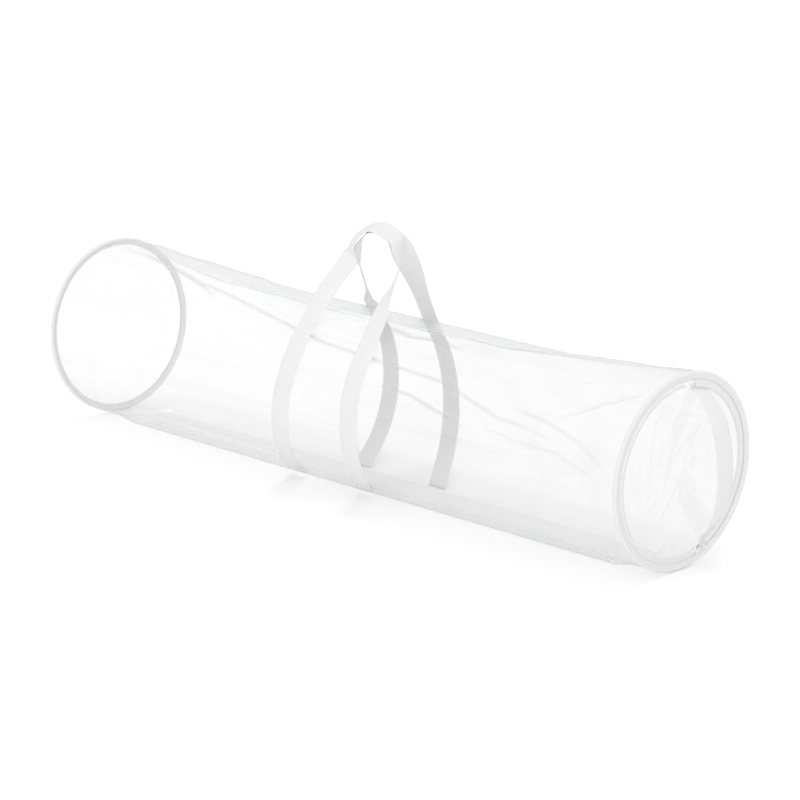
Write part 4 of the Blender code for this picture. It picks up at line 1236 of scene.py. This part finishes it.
def make_row_tree():
    """Instances a small rounded body along a line: length along it, depth towards a centre."""
    tree = bpy.data.node_groups.new("repeat_along_line", "GeometryNodeTree")
    for name, kind in (("Line", "NodeSocketGeometry"), *ROW_INPUTS):
        tree.interface.new_socket(name, in_out="INPUT", socket_type=kind)
    tree.interface.new_socket("Geometry", in_out="OUTPUT", socket_type="NodeSocketGeometry")
    given = tree.nodes.new("NodeGroupInput").outputs
    curve = add_node(tree, "GeometryNodeMeshToCurve", links={"Mesh": given["Line"]})
    spacing = {"Curve": curve.outputs["Curve"], "Length": given["Pitch"]}
    spaced = add_node(tree, "GeometryNodeResampleCurve", {"mode": "LENGTH"}, (), spacing)
    body = add_node(tree, "GeometryNodeMeshUVSphere", values=BALL)
    sides = {"X": given["Length"], "Y": given["Depth"], "Z": given["Height"]}
    size = add_node(tree, "ShaderNodeCombineXYZ", links=sides)
    scaling = {"Geometry": body.outputs["Mesh"], "Scale": size.outputs[0]}
    shaped = add_node(tree, "GeometryNodeTransform", links=scaling)
    tangent = tree.nodes.new("GeometryNodeInputTangent").outputs[0]
    place = tree.nodes.new("GeometryNodeInputPosition").outputs[0]
    ends = {0: given["Centre"], 1: place}
    inwards = add_node(tree, "ShaderNodeVectorMath", {"operation": "SUBTRACT"}, (), ends)
    along = add_node(tree, "FunctionNodeAlignRotationToVector", {"axis": "X"}, (), {"Vector": tangent})
    turning = {"Rotation": along.outputs[0], "Vector": inwards.outputs[0]}
    axes = {"axis": "Y", "pivot_axis": "X"}
    facing = add_node(tree, "FunctionNodeAlignRotationToVector", axes, (), turning)
    row = {
        "Points": spaced.outputs["Curve"],
        "Instance": shaped.outputs["Geometry"],
        "Rotation": facing.outputs[0],
    }
    placed = add_node(tree, "GeometryNodeInstanceOnPoints", links=row)
    real = add_node(tree, "GeometryNodeRealizeInstances", links={"Geometry": placed.outputs["Instances"]})
    finish = {"Geometry": real.outputs["Geometry"], "Material": given["Finish"]}
    dressed = add_node(tree, "GeometryNodeSetMaterial", links=finish)
    add_node(tree, "NodeGroupOutput", links={"Geometry": dressed.outputs["Geometry"]})
    return tree


row_tree = make_row_tree()


def repeat_along(name, lines, sizes, centre, material):
    """Runs the tree over polylines and returns the result as a plain mesh object."""
    points = []
    edges = []
    for line in lines:
        first = len(points)
        points += [tuple(point) for point in line]
        edges += [(index, index + 1) for index in range(first, len(points) - 1)]
    guide_mesh = bpy.data.meshes.new(name + "_guide")
    guide_mesh.from_pydata(points, edges, [])
    guide = add_object(name + "_guide", guide_mesh)
    modifier = guide.modifiers.new("rows", "NODES")
    modifier.node_group = row_tree
    wanted = dict(zip((name for name, _ in ROW_INPUTS), (*sizes, centre, material)))
    for item in row_tree.interface.items_tree:
        if item.name in wanted and item.in_out == "INPUT":
            modifier[item.identifier] = wanted[item.name]
    graph = bpy.context.evaluated_depsgraph_get()
    mesh = bpy.data.meshes.new_from_object(guide.evaluated_get(graph))
    guide.modifiers.remove(modifier)
    bpy.data.objects.remove(guide)
    mesh.name = name
    mesh.shade_smooth()
    print(name, "has", len(mesh.polygons), "faces")
    return add_object(name, mesh)


# %% Zip teeth rows
COIL_SIZES = (0.0016, 0.00125, TOOTH_WIDTH, 0.0016)
COIL_PAST = 0.005
# Both ends of the flap's coil stop this far short of the fold line.
COIL_SHORT = (0.008, 0.012)
END_CENTRE = tuple(end_place(0.0, 0.0, 0.0).tolist())


def rim_line(radius, start, end, outward=0.0):
    angles = np.linspace(start, end, int((end - start) / ARC_STEP) + 2)
    return end_place(outward, radius * np.cos(angles), radius * np.sin(angles))


half_row = ROW_GAP + TOOTH_WIDTH / 2
outer_span = (ZIP_UPPER - STOP_REACH + COIL_PAST, ZIP_LOWER + STOP_REACH - COIL_PAST)
outer_line = rim_line(ZIP_RADIUS + half_row, *outer_span)
inner_span = (flap_arc(FOLD_OFFSET - short, ZIP_RADIUS)[end] for end, short in enumerate(COIL_SHORT))
inner_line = rim_line(ZIP_RADIUS - half_row, *inner_span)
outer_teeth = repeat_along("zip_coil_outer", [outer_line], COIL_SIZES, END_CENTRE, nylon_teeth)
inner_teeth = repeat_along("zip_coil_inner", [inner_line], COIL_SIZES, END_CENTRE, nylon_teeth)
for teeth, node, body in (
    (outer_teeth, "zip_teeth_tube_side", "bag"),
    (inner_teeth, "zip_teeth_flap_side", "end_flap"),
):
    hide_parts(node)
    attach(teeth, body)

# %% [markdown]
# ## End handle
#
# The third strap crosses the fixed part of the near disc. Its two ends are cut to the rim and sewn down,
# and between them it stands up in an arch that a hand fits under. It is swept like the carry handles, but
# its end rows slide along the strap so that the cut follows the rim.

# %% End strap
STRAP_BULGE = 0.033
STRAP_REACH = math.sqrt(END_FILM_RADIUS**2 - (STRAP_OFFSET + WEBBING_WIDTH / 2) ** 2)
STRAP_HALF = STRAP_REACH * 0.955
STRAP_SEAT = FILM_THICKNESS / 2 + CLEARANCE + WEBBING_THICKNESS / 2
STRAP_STEPS = 150
# The strap goes on past each end of its arch by this share, and is pressed flatter and lower there.
SEWN_SHARE = 0.12
FLATTEN_SHARE = 0.7
SINK_SHARE = 0.55
ARCH_TOP_SHARE, ARCH_BOTTOM_SHARE = 0.972, 0.935
ARCH_KEY_STEPS = 6
ARCH_STRETCH = 1.25
SLOPE_STEP = 0.01
ARCH_KEYS = (
    (-1.00, 0.00), (-0.87, 0.34), (-0.70, 0.61), (-0.40, 0.88), (-0.05, 1.00),
    (0.30, 0.98), (0.61, 0.82), (0.85, 0.42), (1.00, 0.00),
)


def make_end_strap():
    arch = smooth_rows(ARCH_KEYS, ARCH_KEY_STEPS)
    share_across, share_up = np.array(strap_section()).T
    across = STRAP_OFFSET + share_across * WEBBING_WIDTH / 2
    rim = np.sqrt(END_FILM_RADIUS**2 - across**2)
    top, bottom = rim * ARCH_TOP_SHARE, rim * ARCH_BOTTOM_SHARE

    def arch_height(value):
        return STRAP_BULGE * np.interp(np.clip(value, -1, 1), arch[:, 0], arch[:, 1])

    rows = []
    uv = []
    for value in np.linspace(-1 - SEWN_SHARE, 1 + SEWN_SHARE, STRAP_STEPS):
        beyond = max(abs(value) - 1, 0) / SEWN_SHARE
        inner = (top - bottom) / 2 + np.clip(value, -1, 1) * (top + bottom) / 2
        up = inner + (math.copysign(1, value) * rim - inner) * beyond
        climb = arch_height(value + SLOPE_STEP) - arch_height(value - SLOPE_STEP)
        slope = math.atan(climb / (2 * SLOPE_STEP * STRAP_HALF))
        pressed = 1 - FLATTEN_SHARE * beyond
        lift = share_up * WEBBING_THICKNESS / 2 * pressed
        seat = STRAP_SEAT * (1 - SINK_SHARE * (1 - pressed))
        out = seat + arch_height(value) + lift * math.cos(slope)
        rows.append(fold_place(out, across, up - lift * math.sin(slope)))
        wide = np.where(lift >= 0, share_across, 2 - share_across) * WEBBING_WIDTH / 2
        uv.append(np.stack([wide, np.full(len(wide), value * STRAP_HALF * ARCH_STRETCH)], axis=-1))
    return strap_object("end_strap", np.stack(rows), np.stack(uv))


end_strap = make_end_strap()
outward = Vector(fold_place(1.0, 0, 0)) - Vector(fold_place(0.0, 0, 0))
strap_base = Vector(fold_place(STRAP_SEAT, STRAP_OFFSET, 0.0))
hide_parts("end_handle", "end_handle_upper_tab", "end_handle_lower_tab")
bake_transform(end_strap)

# %% [markdown]
# ## Stitches
#
# A row of lockstitches runs down both edges of each sewn leg, along the binding and round both faces of
# the piping's flange. The same node tree lays them: a thin rounded thread every 3 mm.

# %% Stitch lines
STITCH_PITCH = 0.0031
LEG_STITCH = (STITCH_PITCH, 0.0023, 0.00045, 0.00040)
END_STITCH = (STITCH_PITCH, 0.0022, 0.0004, 0.0004)
STITCH_INSET = 0.0032
LEG_STITCH_LIFT = CLEARANCE + WEBBING_THICKNESS
# Angles left without stitches below the hinge line and above a leg's cut end.
BELOW_HINGE, ABOVE_END = 0.06, 0.03
LEG_LINE_POINTS = 70
CROSS_LINE_POINTS = 8


def leg_stitch_lines(legs, front):
    """Lines down both edges of a pair of legs, and across their cut ends."""
    first, last = leg_span(front)
    way = 1 if front else -1
    angles = np.linspace(first + way * BELOW_HINGE, last - way * ABOVE_END, LEG_LINE_POINTS)
    inset = WEBBING_WIDTH / 2 - STITCH_INSET
    reach = np.linspace(-inset, inset, CROSS_LINE_POINTS)
    lines = []
    for leg in legs:
        middle = leg_middle(leg, front, angles)
        for side in (-1, 1):
            lines.append(film_surface(middle + side * inset, angles, LEG_STITCH_LIFT, LEG_WRINKLE))
        for end in (0, -1):
            at_end = np.full(CROSS_LINE_POINTS, angles[end])
            lines.append(film_surface(middle[end] + reach, at_end, LEG_STITCH_LIFT, LEG_WRINKLE))
    return lines


leg_lines = leg_stitch_lines(FRONT_LEGS, True) + leg_stitch_lines(REAR_LEGS, False)
centre_line = (0.0, 0.0, AXIS_HEIGHT)
leg_stitches = repeat_along("leg_stitches", leg_lines, LEG_STITCH, centre_line, thread_white)

# %% Stitches on the ends
BINDING_STITCH_RADIUS = 0.1046
BINDING_STITCH_INSET = 0.02
LIP_STITCH_RADIUS = 0.1142
LIP_STITCH_SHARE = 0.95
FLANGE_POINTS = 361

binding_span = (TAPE_LOWER + BINDING_STITCH_INSET, TAPE_UPPER - BINDING_STITCH_INSET + math.tau)
binding_line = rim_line(BINDING_STITCH_RADIUS, *binding_span, TAPE_THICKNESS / 2 + BINDING_PROUD)
binding_stitches = repeat_along("binding_stitches", [binding_line], END_STITCH, END_CENTRE, thread_white)

angles = np.linspace(0, math.tau, FLANGE_POINTS)
ring_y, ring_z = LIP_STITCH_RADIUS * np.cos(angles), LIP_STITCH_RADIUS * np.sin(angles)
flange_lines = [
    end_place(face * LIP_OUT * LIP_STITCH_SHARE, ring_y, ring_z, right)
    for right in (True, False)
    for face in (-1, 1)
]
flange_stitches = repeat_along("flange_stitches", flange_lines, END_STITCH, centre_line, thread_white)
for stitches, name in (
    (leg_stitches, "white_webbing"),
    (binding_stitches, "white_zip_tape"),
    (flange_stitches, "white_piping"),
):
    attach(stitches, "bag")

# %% [markdown]
# ## Slider, pull and stops
#
# The slider, its pull and the two stops are cast metal with painted, slightly rounded edges. Their CAD
# shapes are right but sharp. Each is copied, its loose triangles are merged, its flat faces are made
# whole again, and a small bevel rounds its edges.

# %% Rounded metal parts
BEVEL_WIDTH = 0.00012
MERGE_DISTANCE = 0.000001
SAME_FACE_ANGLE = math.radians(1)
BEVEL_FROM_ANGLE = 0.5
SHARP_FROM_ANGLE = math.radians(50)


def rounded_copy(node, body):
    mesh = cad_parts[node].data.copy()
    mesh.materials.clear()
    shaped = bmesh.new()
    shaped.from_mesh(mesh)
    bmesh.ops.remove_doubles(shaped, verts=shaped.verts, dist=MERGE_DISTANCE)
    bmesh.ops.dissolve_limit(shaped, angle_limit=SAME_FACE_ANGLE, verts=shaped.verts, edges=shaped.edges)
    whole = [edge for edge in shaped.edges if len(edge.link_faces) == 2]
    sharp = [edge for edge in whole if edge.calc_face_angle() > BEVEL_FROM_ANGLE]
    shape = {"segments": 2, "profile": 0.5, "affect": "EDGES", "clamp_overlap": True}
    bmesh.ops.bevel(shaped, geom=sharp, offset=BEVEL_WIDTH, **shape)
    bmesh.ops.triangulate(shaped, faces=shaped.faces)
    shaped.to_mesh(mesh)
    shaped.free()
    made = finish_object(node + "_rounded", mesh, white_enamel)
    mesh.set_sharp_from_angle(angle=SHARP_FROM_ANGLE)
    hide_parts(node)
    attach(made, body)
    print(made.name, "has", len(mesh.polygons), "faces")


for node, body in (
    ("zip_slider", "zip_slider"),
    ("zip_pull", "zip_pull"),
    ("zip_top_stop", "bag"),
    ("zip_bottom_stop", "bag"),
):
    rounded_copy(node, body)

# %% [markdown]
# ## Hoops and ferrules
#
# The spring wire and its crimped sleeve are right as they come from the frame, and lie inside the
# piping. They only get their steel.

# %% Steel on the hoops
for node in ("left_hoop", "right_hoop", "left_hoop_ferrule", "right_hoop_ferrule"):
    steel_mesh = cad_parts[node].data
    steel_mesh.materials.clear()
    steel_mesh.materials.append(spring_steel)
